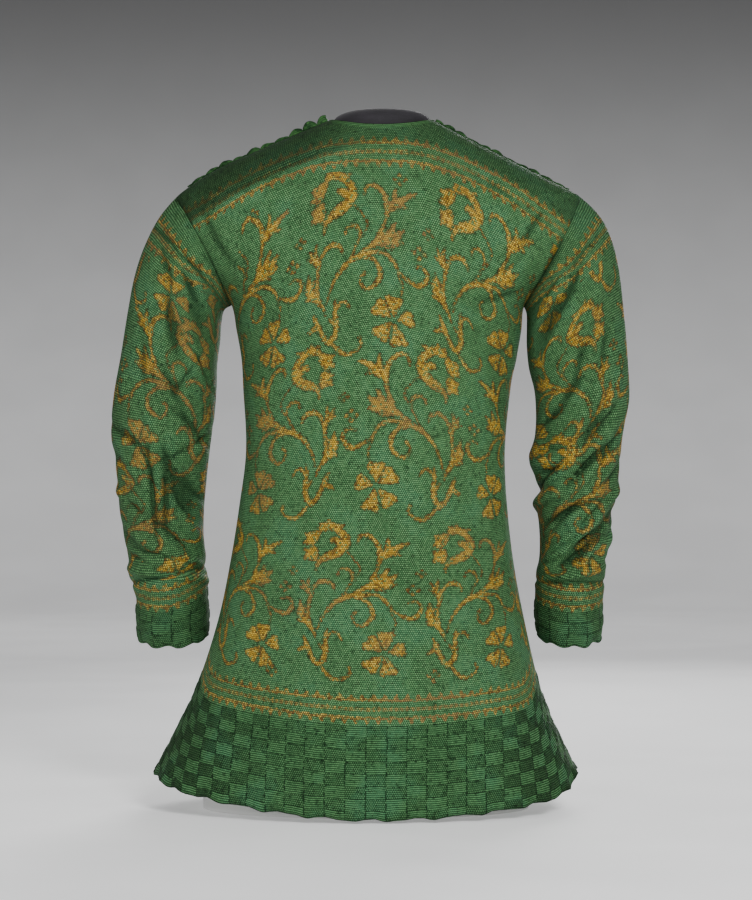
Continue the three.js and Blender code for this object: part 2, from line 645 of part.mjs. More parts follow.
function makeSleeve(name, side) {
  const rings = [0, 0.5, 1, 1.5, 2, 2.5];
  for (let ring = 3; ring < cuffSquareFrom - 1; ring += 0.5) rings.push(ring);
  for (let ring = cuffSquareFrom - 1; ring < sleeveRows[side].length; ring += 1) rings.push(ring);
  const points = rings.map((ring) => {
    const line = [];
    for (let column = 0; column < sleeveColumns; column += 1) {
      line.push(sleevePoint(side, column, ring));
    }
    return line;
  });
  const middle = (row) => points[row][0].clone().lerp(points[row][sleeveHalfColumns], 0.5);
  let grid = withNormals(points, middle, true);
  grid.forEach((line, row) => {
    line.forEach(({ point, normal }, column) => {
      const cuff = ease(cuffSquareFrom - 2, cuffSquareFrom - 1, rings[row]);
      const free = ease(1, 3, rings[row]) * (1 - cuff);
      point.addScaledVector(normal, free * sleeveFoldHeight(side, column, point.z));
    });
  });
  grid = withNormals(points, middle, true);
  grid[0].forEach((place, column) => {
    const face = column <= sleeveHalfColumns ? "back" : "front";
    const row = face === "back" ? column : sleeveColumns - column;
    const seam = armholeSeam(side, face, row);
    place.point.copy(seam.point).addScaledVector(seam.across, cloth.seamGap / 2);
    place.normal = seam.rise;
  });
  const raised = (row, column) => {
    const square = Math.floor(column / 2) + Math.round(rings[row]);
    return rings[row] >= cuffSquareFrom && square % 2 ? cloth.squareRelief : 0;
  };
  return makeWall(name, grid, { tube: true, raised });
}

// ---- Selvedges standing on the shoulder seams ----

function makeFrill(name, side) {
  const { thickness, neckHeight, armHeight, sway, waves } = frills[side];
  const sign = side === "left" ? -1 : 1;
  const stations = waves * 4;
  const positions = [];
  for (let station = 0; station <= stations; station += 1) {
    const share = station / stations;
    const x = mix(neck.halfWidth + frillShape.neckEnd, shoulder.halfWidth - frillShape.armEnd, share);
    const z = shoulderLineZ(side, x);
    const up = shoulderNormal(sign, x);
    const foot = new THREE.Vector3(sectionAt(bodySections, "centreX", z) + sign * x, 0, z);
    foot.addScaledVector(up, cloth.thickness / 2 + cloth.seamGap);
    const wave = 2 * Math.PI * waves * share;
    const swing = 1 + frillShape.unevenness * Math.cos(wave / 2);
    const tall = mix(neckHeight, armHeight, share ** frillShape.fall) * swing;
    const lean = sway * Math.sin(wave);
    for (const [height, y] of [[0, frillShape.footSway * lean], [tall, lean]]) {
      for (const edge of [-thickness / 2, thickness / 2]) {
        const point = foot.clone().addScaledVector(up, height);
        positions.push(point.x, y + edge, point.z);
      }
    }
  }
  const faces = [];
  const quad = (a, b, c, d) => faces.push(a, b, c, a, c, d);
  const round = [0, 1, 3, 2];
  for (let station = 0; station < stations; station += 1) {
    round.forEach((from, place) => {
      const to = round[(place + 1) % 4];
      quad(4 * station + from, 4 * station + to, 4 * station + 4 + to, 4 * station + 4 + from);
    });
  }
  quad(2, 3, 1, 0);
  const end = 4 * stations;
  quad(end, end + 1, end + 3, end + 2);
  return makeMesh(name, positions, faces, green);
}

// ---- The dress form ----

function formRingAt(z) {
  const { drop, lowInset, highInset, highZ, rounding } = formShoulder;
  const top = formSections[formSections.length - 1].z;
  const read = (key) => sectionAt(formSections, key, Math.min(z, top));
  if (z <= top) {
    const halfWidth = read("halfWidth");
    return { z, left: halfWidth, right: halfWidth, back: read("back"), front: read("front") };
  }
  const inset = mix(lowInset, highInset, ease(top, highZ, z));
  const rounded = read("halfWidth") - rounding * (z - top);
  const left = Math.min(rounded, shoulderLineX("left", z + drop));
  const right = Math.min(rounded, shoulderLineX("right", z + drop));
  const back = sectionAt(bodySections, "back", z) - inset;
  const front = sectionAt(bodySections, "front", z) - inset;
  return { z, left, right, back, front };
}

function formNeckRing(z, share) {
  const halfWidth = formNeck.halfWidth * share;
  const halfDepth = formNeck.halfDepth * share;
  return { z, left: halfWidth, right: halfWidth, back: halfDepth, front: halfDepth };
}

function makeForm(name) {
  const { columns, heights, neckFoot, capRises } = formRings;
  const rings = heights.map(formRingAt);
  rings.push(formNeckRing(formNeck.footZ, neckFoot));
  for (const rise of capRises) {
    rings.push(formNeckRing(mix(formNeck.capZ, formNeck.topZ, rise), Math.sqrt(1 - rise ** 2)));
  }
  const positions = [];
  for (const ring of rings) {
    const centre = sectionAt(bodySections, "centreX", ring.z);
    const lean = ease(shoulder.z - 24, shoulder.z + 26, ring.z);
    const fullness = mix(sectionFullness, formShoulder.leanness, lean);
    for (let column = 0; column < columns; column += 1) {
      const turn = (2 * Math.PI * column) / columns;
      const wide = Math.cos(turn);
      const deep = Math.sin(turn);
      const x = centre + wide * (wide < 0 ? ring.left : ring.right);
      const y = Math.sign(deep) * (deep < 0 ? ring.back : ring.front) * Math.abs(deep) ** fullness;
      positions.push(x, y, ring.z);
    }
  }
  const base = rings.length * columns;
  for (const z of [0, formNeck.topZ]) positions.push(sectionAt(bodySections, "centreX", z), 0, z);
  const faces = [];
  for (let column = 0; column < columns; column += 1) {
    const next = (column + 1) % columns;
    for (let ring = 0; ring < rings.length - 1; ring += 1) {
      const low = ring * columns;
      const high = low + columns;
      faces.push(low + column, low + next, high + next, low + column, high + next, high + column);
    }
    const top = base - columns;
    faces.push(base, next, column, base + 1, top + column, top + next);
  }
  return makeMesh(name, positions, faces, charcoal);
}

// ---- The whole part ----

const part = new THREE.Group();
part.add(makePanel("back", "back", -halfColumns, halfColumns));
part.add(makePanel("front_left", "front", -halfColumns, 0));
part.add(makePanel("front_right", "front", 0, halfColumns));
part.add(makeSleeve("sleeve_left", "left"));
part.add(makeSleeve("sleeve_right", "right"));
part.add(makeFrill("shoulder_frill_left", "left"));
part.add(makeFrill("shoulder_frill_right", "right"));
part.add(makeForm("dress_form"));

export default part;
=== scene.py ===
import bmesh
import bpy
import numpy as np
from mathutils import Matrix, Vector


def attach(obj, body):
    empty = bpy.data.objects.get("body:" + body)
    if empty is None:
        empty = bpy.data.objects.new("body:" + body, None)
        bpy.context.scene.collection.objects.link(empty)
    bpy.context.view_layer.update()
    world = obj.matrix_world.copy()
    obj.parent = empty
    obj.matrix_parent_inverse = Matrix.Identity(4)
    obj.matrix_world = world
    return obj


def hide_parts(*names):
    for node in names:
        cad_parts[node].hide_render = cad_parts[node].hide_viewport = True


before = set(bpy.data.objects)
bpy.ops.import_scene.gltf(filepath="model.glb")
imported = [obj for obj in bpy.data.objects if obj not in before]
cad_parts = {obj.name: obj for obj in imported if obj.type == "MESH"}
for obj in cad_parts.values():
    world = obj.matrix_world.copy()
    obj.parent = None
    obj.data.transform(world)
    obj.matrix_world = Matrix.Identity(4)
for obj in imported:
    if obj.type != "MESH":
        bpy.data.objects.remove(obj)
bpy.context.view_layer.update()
mm = 0.001
wallHalf = 1.0  # half of the cloth's thickness
sideSign = {"left": -1, "right": 1}  # along x
faceSign = {"back": -1, "front": 1}  # along y

# the garment's shape, which all cloth pieces share
neck = {"halfWidth": 50, "cornerZ": 657, "backZ": 649.5, "frontZ": 624}
shoulder = {"halfWidth": 194, "z": 584, "bendHalfWidth": 140}
shoulderLines = {
    "left": {"slope": 0.44, "bendDrop": 9.6},
    "right": {"slope": 0.502, "bendDrop": 0.7},
}
# the armhole's size and bow, and how strong the painted shade along each underarm seam is
armhole = {
    "halfWidth": 140, "z": 482, "halfDepth": 48, "roundness": 0.8,
    "bow": {"left": -3, "right": 3}, "paintedShade": {"left": 2.2, "right": 4},
}
hem = {
    "centreZ": 3,
    "left": {"side": 25, "bend": 1.5, "corner": 7.3},
    "right": {"side": 16, "bend": 2, "corner": 16.3},
}
rowShape = {"back": 654, "front": 642, "bend": 1.4, "settledBy": 0.2, "fade": 1.6, "sharpness": 20}
columnShape = {"topTurn": 58, "lowTurn": 90, "turned": (0.05, 0.2), "crowding": 0.07, "settledBy": 0.12}
sectionFullness = 0.92
neckShare = 4 / 14  # columns that lie along the neck edge
seamHalfGap = 0.15
slopeStep = {"face": 0.5, "side": 1, "shoulder": 2}

bodySections = {
    "z": [662, 649, 630, 610, 584, 550, 515, 482, 457, 430, 404, 344, 294, 237, 180, 116, 76, 34.8, 0],
    "halfWidth": [50, 70, 108, 148, 195, 189, 161, 140, 135.7, 131.2, 127.7, 123.3, 127, 134.5, 145.7,
                  163.6, 181, 201.6, 216],
    "centreX": [12, 10.2, 8.4, 8.1, 8.2, 7.9, 7.8, 7.7, 8.6, 8.6, 6.8, 5.3, 3.3, 1.9, 1.2, -1.6, -3.2,
                -4, -4],
    "back": [45, 52, 65, 76, 88, 97, 101, 101, 99, 96, 93, 89, 96, 110, 124, 138, 145, 150, 154],
    "front": [44, 48, 58, 72, 87, 98, 104, 107, 104, 100, 97, 93, 98, 112, 125, 138, 145, 150, 154],
}


def mix(a, b, t):
    return a + (b - a) * t


def ease(low, high, value):
    t = np.clip((value - low) / (high - low), 0, 1)
    return t * t * (3 - 2 * t)


def curveThrough(places, values, place):
    places, values = np.array(places, float), np.array(values, float)
    if places[-1] < places[0]:
        places, values = places[::-1], values[::-1]
    before = np.maximum(np.arange(len(places)) - 1, 0)
    after = np.minimum(np.arange(len(places)) + 1, len(places) - 1)
    slopes = (values[after] - values[before]) / (places[after] - places[before])
    row = np.clip(np.searchsorted(places, place) - 1, 0, len(places) - 2)
    span = places[row + 1] - places[row]
    t = np.clip((place - places[row]) / span, -0.5, 1.5)
    return ((2 * t**3 - 3 * t**2 + 1) * values[row] + (t**3 - 2 * t**2 + t) * span * slopes[row]
            + (3 * t**2 - 2 * t**3) * values[row + 1] + (t**3 - t**2) * span * slopes[row + 1])


def section(key, z):
    return curveThrough(bodySections["z"], bodySections[key], z)


def foldHeight(across, up, slope, length, width, lift):
    angle = np.radians(slope)
    along = across * np.cos(angle) + up * np.sin(angle)
    aside = -across * np.sin(angle) + up * np.cos(angle)
    return lift * np.exp(-((aside / width) ** 2) - (along / length) ** 2)


def unit(vectors):
    return vectors / np.maximum(np.linalg.norm(vectors, axis=-1, keepdims=True), 1e-9)


def dot(a, b):
    return (a * b).sum(axis=-1, keepdims=True)


def foldsOn(points, folds):
    return sum(foldHeight(points[..., 0] - x, points[..., 2] - z, *rest) for x, z, *rest in folds)


def shoulderLineZ(side, x):
    line = shoulderLines[side]
    past = np.maximum(0, x - shoulder["bendHalfWidth"])
    bend = shoulder["halfWidth"] - shoulder["bendHalfWidth"]
    return neck["cornerZ"] - line["slope"] * (x - neck["halfWidth"]) - line["bendDrop"] * (past / bend) ** 2


def shoulderLineX(side, z):
    low = np.zeros_like(z)
    high = np.full_like(z, shoulder["halfWidth"] + 5)
    for _ in range(32):
        middle = (low + high) / 2
        above = shoulderLineZ(side, middle) > z
        low, high = np.where(above, middle, low), np.where(above, high, middle)
    return low


def armholeStep(z):
    return (shoulder["z"] - z) / (shoulder["z"] - armhole["z"])


def armholeSpot(side, face, step):
    z = mix(shoulder["z"], armhole["z"], step)
    turn = np.sin(np.pi * np.clip(step, 0, 1))
    halfWidth = mix(shoulder["halfWidth"], armhole["halfWidth"], step) + armhole["bow"][side] * turn
    y = faceSign[face] * armhole["halfDepth"] * np.maximum(turn, 0) ** armhole["roundness"]
    return np.stack([section("centreX", z) + sideSign[side] * halfWidth, y, z], axis=-1)


def halfWidthAt(side, face, z):
    z = np.asarray(z, float)
    edge = armholeSpot(side, face, np.clip(armholeStep(z), 0, 1))
    deep = np.abs(edge[..., 1]) / section(face, z)
    beside = np.abs(edge[..., 0] - section("centreX", z)) / np.sqrt(1 - deep ** (2 / sectionFullness))
    wide = np.where(z <= armhole["z"], section("halfWidth", z), beside)
    return np.where(z >= shoulder["z"], shoulderLineX(side, z), wide)


def bodyDepth(side, face, x, z):
    inside = np.maximum(0, 1 - (x / halfWidthAt(side, face, z)) ** 2)
    return faceSign[face] * section(face, z) * inside ** (sectionFullness / 2)


def rowHeight(side, face, across, down):
    x = across * shoulder["halfWidth"]
    middle = neck["backZ"] if face == "back" else neck["frontZ"]
    inNeck = mix(middle, neck["cornerZ"], (x / neck["halfWidth"]) ** 2)
    top = np.where(x >= neck["halfWidth"], shoulderLineZ(side, x), inNeck)
    settled = mix(rowShape[face], shoulder["z"], across ** rowShape["bend"])
    topShape = mix(top, settled, ease(0, rowShape["settledBy"], down)) - rowShape[face]
    rise = hem[side]
    hemShape = rise["side"] * across ** rise["bend"] + rise["corner"] * across ** rowShape["sharpness"]
    straight = mix(rowShape[face], hem["centreZ"], down)
    return straight + topShape * (1 - down) ** rowShape["fade"] + hemShape * down


def rowHalfWidth(side, face, down):
    z = rowHeight(side, face, np.ones_like(down), down)
    spot = armholeSpot(side, face, np.clip(armholeStep(z), 0, 1))
    beside = np.abs(spot[..., 0] - section("centreX", z))
    return np.where(z <= armhole["z"], section("halfWidth", z), beside)


def columnSpread(share, down):
    turned = ease(*columnShape["turned"], down)
    turn = np.radians(mix(columnShape["topTurn"], columnShape["lowTurn"], turned))

    def even(part):
        return np.sin(part * turn - columnShape["crowding"] * np.sin(2 * part * turn))

    neckEnd = neck["halfWidth"] / shoulder["halfWidth"]
    inNeck = neckEnd * np.sin((np.pi / 2) * np.minimum(1, share / neckShare))
    past = mix(neckEnd, 1, (share - neckShare) / (1 - neckShare))
    top = np.where(share <= neckShare, inNeck, past)
    return mix(top, even(share) / even(1), ease(0, columnShape["settledBy"], down))


def halfPanel(side, face, shares, downs):
    share, down = np.meshgrid(shares, downs)
    across = columnSpread(share, down)
    z = rowHeight(side, face, across, down)
    x = sideSign[side] * across * rowHalfWidth(side, face, down)
    return np.stack([x + section("centreX", z), bodyDepth(side, face, np.abs(x), z), z], axis=-1)


def bodyNormal(side, face, point):
    x, z, by = np.abs(point[..., 0] - section("centreX", point[..., 2])), point[..., 2], slopeStep["face"]
    slopeX = bodyDepth(side, face, x + by, z) - bodyDepth(side, face, x - by, z)
    slopeZ = bodyDepth(side, face, x, z + by) - bodyDepth(side, face, x, z - by)
    normal = np.stack([sideSign[side] * slopeX, -2 * by * np.ones_like(x), slopeZ], axis=-1)
    return -faceSign[face] * unit(normal)


def shoulderNormal(side, x):
    by = slopeStep["shoulder"]
    fall = (shoulderLineZ(side, x - by) - shoulderLineZ(side, x + by)) / (2 * by)
    return unit(np.stack([sideSign[side] * fall, 0 * fall, 1 + 0 * fall], axis=-1))


def sideNormal(side, z):
    by = slopeStep["side"]
    flare = (section("halfWidth", z - by) - section("halfWidth", z + by)) / (2 * by)
    return unit(np.stack([sideSign[side] + 0 * flare, 0 * flare, flare], axis=-1))


# Both sleeves: the arm's bend forward, and how the armhole runs from the shoulder (0) to the
# underarm (1) in steps of 18 degrees.
sleeveShape = {
    "forward": [0, 0, 0, 0, 1, 3, 6, 11, 18, 26, 31, 34, 37, 40, 43],
    "tilt": [0, 0, 0, 0, 0.02, 0.05, 0.1, 0.15, 0.2, 0.24, 0.26, 0.27, 0.27, 0.27, 0.27],
    "armholeSteps": [0, 0.03, 0.1, 0.2, 0.31, 0.42, 0.53, 0.64, 0.76, 0.88, 1],
    "roundRing": 2.5, "radius": 43, "columns": 168, "rows": 248, "edgeWave": 1.4, "edgeLean": 1.3,
    "edgeReach": 7, "waves": 9, "leans": 7, "creaseDepth": 1.9, "creaseWidth": 2.8, "creaseFall": 12,
    "foldsFrom": (0.4, 1.6), "foldsTo": (11.2, 12), "cuffRiseTo": (70, 180), "seamShadeWidth": 7,
    "seamShadeFrom": (60, 120), "bandNarrows": (80, 170),
}
# Each sleeve: the cloth's outside on the outer and inner side of every ring, from below the
# armhole to the cuff. A fold is (turn, z, slope, length, width, lift), with the turn 0 outside,
# 90 at the back, 180 inside and 270 at the front. Creases are narrower folds between them.
# topCrease says how far below the armhole one crease runs round, and how deep it is.
sleeves = {
    "left": {
        "outX": [203.5, 216.5, 226, 232.5, 239, 246.5, 248.7, 243.5, 240.5, 234, 232, 227, 227.3, 227, 225],
        "outZ": [563, 537, 508, 474, 434, 392, 354, 315, 273, 240, 217, 200, 186, 173, 160.5],
        "inX": [139.5, 142.5, 143.8, 146.5, 147.3, 149.5, 153.5, 157.3, 160.5, 160.5, 157.5, 157.5, 156.5,
                156.3, 157.5],
        "inZ": [477, 464, 446, 424, 400, 374, 346, 314, 275, 242, 219, 203, 189, 176, 163],
        "depth": [50, 51, 52, 51, 49.5, 48, 46, 43, 40, 38, 38, 35, 35.5, 36, 35.5],
        "topCrease": (28, -3.6), "cuffRise": 13,
        "folds": [
            (120, 470, 60, 30, 9, -3), (95, 450, 70, 26, 7, -2.5), (88, 292, 82, 34, 8, -3),
            (118, 300, 60, 30, 15, -3.5), (20, 335, 10, 24, 9, -2.5), (30, 262, 25, 26, 9, -2.5),
            (150, 262, 40, 24, 9, 3), (255, 330, -35, 34, 9, -3.5), (280, 300, -40, 30, 8, 3),
            (240, 455, -60, 30, 9, -3), (125, 434, 54, 30, 3.2, -4), (113, 408, -56, 22, 3, -3.4),
            (135, 346, -27, 28, 3.2, -4), (100, 294, 90, 28, 3, -4.5), (127, 294, 90, 24, 10, -3.5),
            (90, 221, -7, 70, 3, -4.5), (90, 232, -7, 60, 6, 4),
        ],
        "creases": [
            (70, 515, 50, 26, 4, -2), (84, 508, 56, 26, 4, 1.6), (104, 498, 48, 22, 4, -2.2),
            (86, 470, 74, 30, 4.5, -1.8), (120, 440, 66, 26, 5, 1.8), (60, 425, 80, 30, 5, -1.6),
            (40, 400, 70, 28, 5, 1.5), (100, 402, 60, 26, 4.5, -1.8), (74, 376, 64, 24, 4.5, 1.5),
            (128, 366, 40, 22, 4.5, -1.8), (60, 350, 40, 24, 4, -1.6), (140, 345, 20, 18, 4, 1.6),
            (104, 326, 72, 26, 3.6, -2.2), (88, 318, 86, 34, 3, 1.8), (80, 300, 86, 38, 2.6, -2.8),
            (60, 318, 50, 22, 4, 1.6), (48, 290, 34, 22, 4, -1.8), (128, 276, 52, 24, 4, 1.8),
            (112, 258, 40, 24, 3.6, -1.8), (60, 256, 26, 26, 3.6, 1.6), (90, 240, 12, 34, 3, -2),
            (52, 236, 18, 24, 3, -1.8), (136, 236, 18, 20, 3.4, 2), (96, 222, 6, 60, 3.4, 2.6),
            (150, 300, 24, 16, 4, -1.8), (30, 360, 24, 18, 4, -1.8), (22, 300, 20, 18, 4, 1.8),
        ],
    },
    "right": {
        "outX": [221.5, 232, 239, 243.6, 247.3, 248.8, 242.5, 239, 234, 227.5, 227.5, 226, 226, 226, 224],
        "outZ": [565, 543, 514, 474.5, 432, 392, 354, 313, 270, 238, 214, 199, 186, 173, 161],
        "inX": [150.2, 150.5, 150.5, 152.5, 158, 159.5, 158.5, 160, 163, 164, 160.5, 160, 159.5, 160.5,
                163],
        "inZ": [473, 459, 442, 421, 398, 373, 347, 313, 274, 242, 216, 201, 188, 175, 163],
        "depth": [50, 51, 52, 51, 49, 47, 45, 43, 40, 37.5, 37.5, 35, 35.5, 36, 35],
        "topCrease": (31, -2), "cuffRise": 2,
        "folds": [
            (125, 465, 60, 28, 9, -4), (78, 366, 58, 22, 7, -4), (62, 345, 50, 42, 8, 3.5),
            (76, 334, 45, 30, 7, -4.5), (105, 307, 26, 46, 8, 4), (176, 334, 8, 26, 13, 6.5),
            (172, 305, 14, 24, 6, -5), (176, 291, 12, 24, 7, 5), (86, 257, 25, 24, 6, -4),
            (92, 239, 34, 26, 6, -4), (15, 280, 10, 22, 8, -4), (15, 255, 20, 24, 8, 3),
            (265, 345, -35, 38, 8, -4), (275, 315, -38, 38, 8, 4), (250, 258, -28, 30, 7, -4),
            (240, 460, -60, 28, 9, -3.5), (68, 334, 38, 34, 3.4, -5), (71, 279, 42, 26, 3.2, -4.4),
            (84, 253.5, 32, 22, 3, -4), (145, 290, 15, 20, 3, -4), (140, 318, 32, 24, 3, -4),
            (93, 287, 20, 30, 3, -3.4), (90, 215, 0, 70, 3, -4), (90, 226, 0, 56, 6, 3.4),
        ],
        "creases": [
            (110, 505, 56, 24, 4, 2), (96, 492, 60, 26, 4, -2.4), (76, 470, 66, 26, 4.5, 1.8),
            (118, 450, 60, 24, 4.5, 2), (92, 430, 70, 28, 4.5, -1.8), (60, 440, 74, 28, 4.5, -1.6),
            (50, 400, 66, 26, 5, 1.6), (110, 396, 48, 24, 4.5, -2), (84, 385, 56, 26, 4.5, 1.8),
            (140, 372, 28, 20, 4, -2), (62, 368, 56, 24, 4, -2), (116, 352, 34, 26, 4, 2.2),
            (140, 340, 14, 22, 3.6, -2.4), (88, 322, 46, 34, 3.6, -3), (48, 340, 54, 26, 3.6, -2.2),
            (66, 310, 46, 30, 4, 2.4), (128, 316, 24, 24, 3.6, 2.4), (146, 322, 10, 16, 3.4, -2.2),
            (100, 286, 40, 30, 3.6, -2.8), (72, 272, 44, 30, 3.6, 2.6), (128, 278, 24, 22, 3.6, -2.2),
            (54, 262, 46, 26, 3.4, -2.6), (84, 262, 38, 26, 3.4, 2.2), (116, 254, 30, 26, 3.4, 2),
            (70, 246, 34, 28, 3, -2.6), (104, 236, 26, 28, 3, -2.2), (130, 240, 18, 20, 3, 2.2),
            (60, 230, 20, 30, 3, 2.2), (96, 222, 8, 56, 3, 2.2), (30, 320, 34, 20, 4, -2),
            (24, 300, 26, 18, 4, 2.2), (18, 262, 22, 18, 3.6, -2.2),
        ],
    },
}


def ringAt(side, key, ring):
    top, low = armholeSpot(side, "back", 0.0), armholeSpot(side, "back", 1.0)
    first = {"outX": abs(top[0]), "outZ": top[2], "inX": abs(low[0]), "inZ": low[2],
             "depth": armhole["halfDepth"], "forward": 0, "tilt": 0}
    inward = {"outX": -wallHalf, "inX": wallHalf}.get(key, 0)  # the table gives the cloth's outside
    rows = [first[key]] + [value + inward for value in {**sleeveShape, **sleeves[side]}[key]]
    return curveThrough(range(len(rows)), rows, ring)


def halfTurn(turn):  # the turn from the outer side, whichever way round
    return np.minimum(np.mod(turn, 360), 360 - np.mod(turn, 360))


def sleevePoint(side, turn, ring):
    half = halfTurn(turn)
    out = np.where(np.mod(turn, 360) <= 180, -1, 1)
    steps = sleeveShape["armholeSteps"]
    step = np.clip(curveThrough(np.arange(len(steps)) * 180 / (len(steps) - 1), steps, half), 0, 1)
    rounding = ease(0, sleeveShape["roundRing"], ring)
    inward = mix(step, (1 - np.cos(np.radians(half))) / 2, rounding)
    pointed = np.maximum(np.sin(np.pi * step), 0) ** armhole["roundness"]
    y = out * np.maximum(mix(pointed, np.sin(np.radians(half)), rounding), 0) * ringAt(side, "depth", ring)
    bow = armhole["bow"][side] * np.sin(np.pi * step) * (1 - rounding)
    x = mix(ringAt(side, "outX", ring), ringAt(side, "inX", ring), inward) + bow
    z = mix(ringAt(side, "outZ", ring), ringAt(side, "inZ", ring), inward) + ringAt(side, "tilt", ring) * y
    return np.stack([sideSign[side] * x, y + ringAt(side, "forward", ring), z], axis=-1)


seam = {"turn": 6, "ring": 0.3, "blend": 14, "underarm": (168, 180), "reach": 1.3}


# both walls end at the armhole on one mitred face, whose direction is rise
def armholeSeam(side, turn):
    turn = np.asarray(turn, float)
    none = np.zeros_like(turn)
    near = none + seam["ring"]
    point = sleevePoint(side, turn, none)
    beyond, before = (sleevePoint(side, turn + step, none) for step in (seam["turn"], -seam["turn"]))
    along = unit(beyond - before)
    outward = sleevePoint(side, turn, near) - point
    middle = (sleevePoint(side, none, near) + sleevePoint(side, none + 180, near)) / 2
    sleeveNormal = unit(np.cross(outward, along))
    sleeveNormal *= np.sign(dot(sleeveNormal, point - middle))
    half = halfTurn(turn)[..., None]
    faceNormal = np.where((np.mod(turn, 360) <= 180)[..., None],
                          bodyNormal(side, "back", point), bodyNormal(side, "front", point))
    top = shoulderNormal(side, none + shoulder["halfWidth"])
    low = sideNormal(side, none + armhole["z"])
    upper = mix(top, faceNormal, ease(0, seam["blend"], half))
    panelNormal = unit(mix(upper, low, ease(*seam["underarm"], half)))
    rise = panelNormal + sleeveNormal
    rise = unit(rise - along * dot(rise, along))
    across = unit(np.cross(rise, along))
    across *= np.sign(dot(across, outward))
    reach = np.minimum(seam["reach"], 1 / np.maximum(0.1, dot(rise, panelNormal)))
    return point, across, rise * reach


def gridNormals(points, inside, tube):
    if tube:  # the last column repeats the first
        wrapped = np.concatenate([points[:, -2:-1], points, points[:, 1:2]], axis=1)
        across = wrapped[:, 2:] - wrapped[:, :-2]
    else:
        across = np.gradient(points, axis=1)
    normals = unit(np.cross(across, np.gradient(points, axis=0)))
    return normals * np.sign(dot(normals, points - inside[:, None, :]))


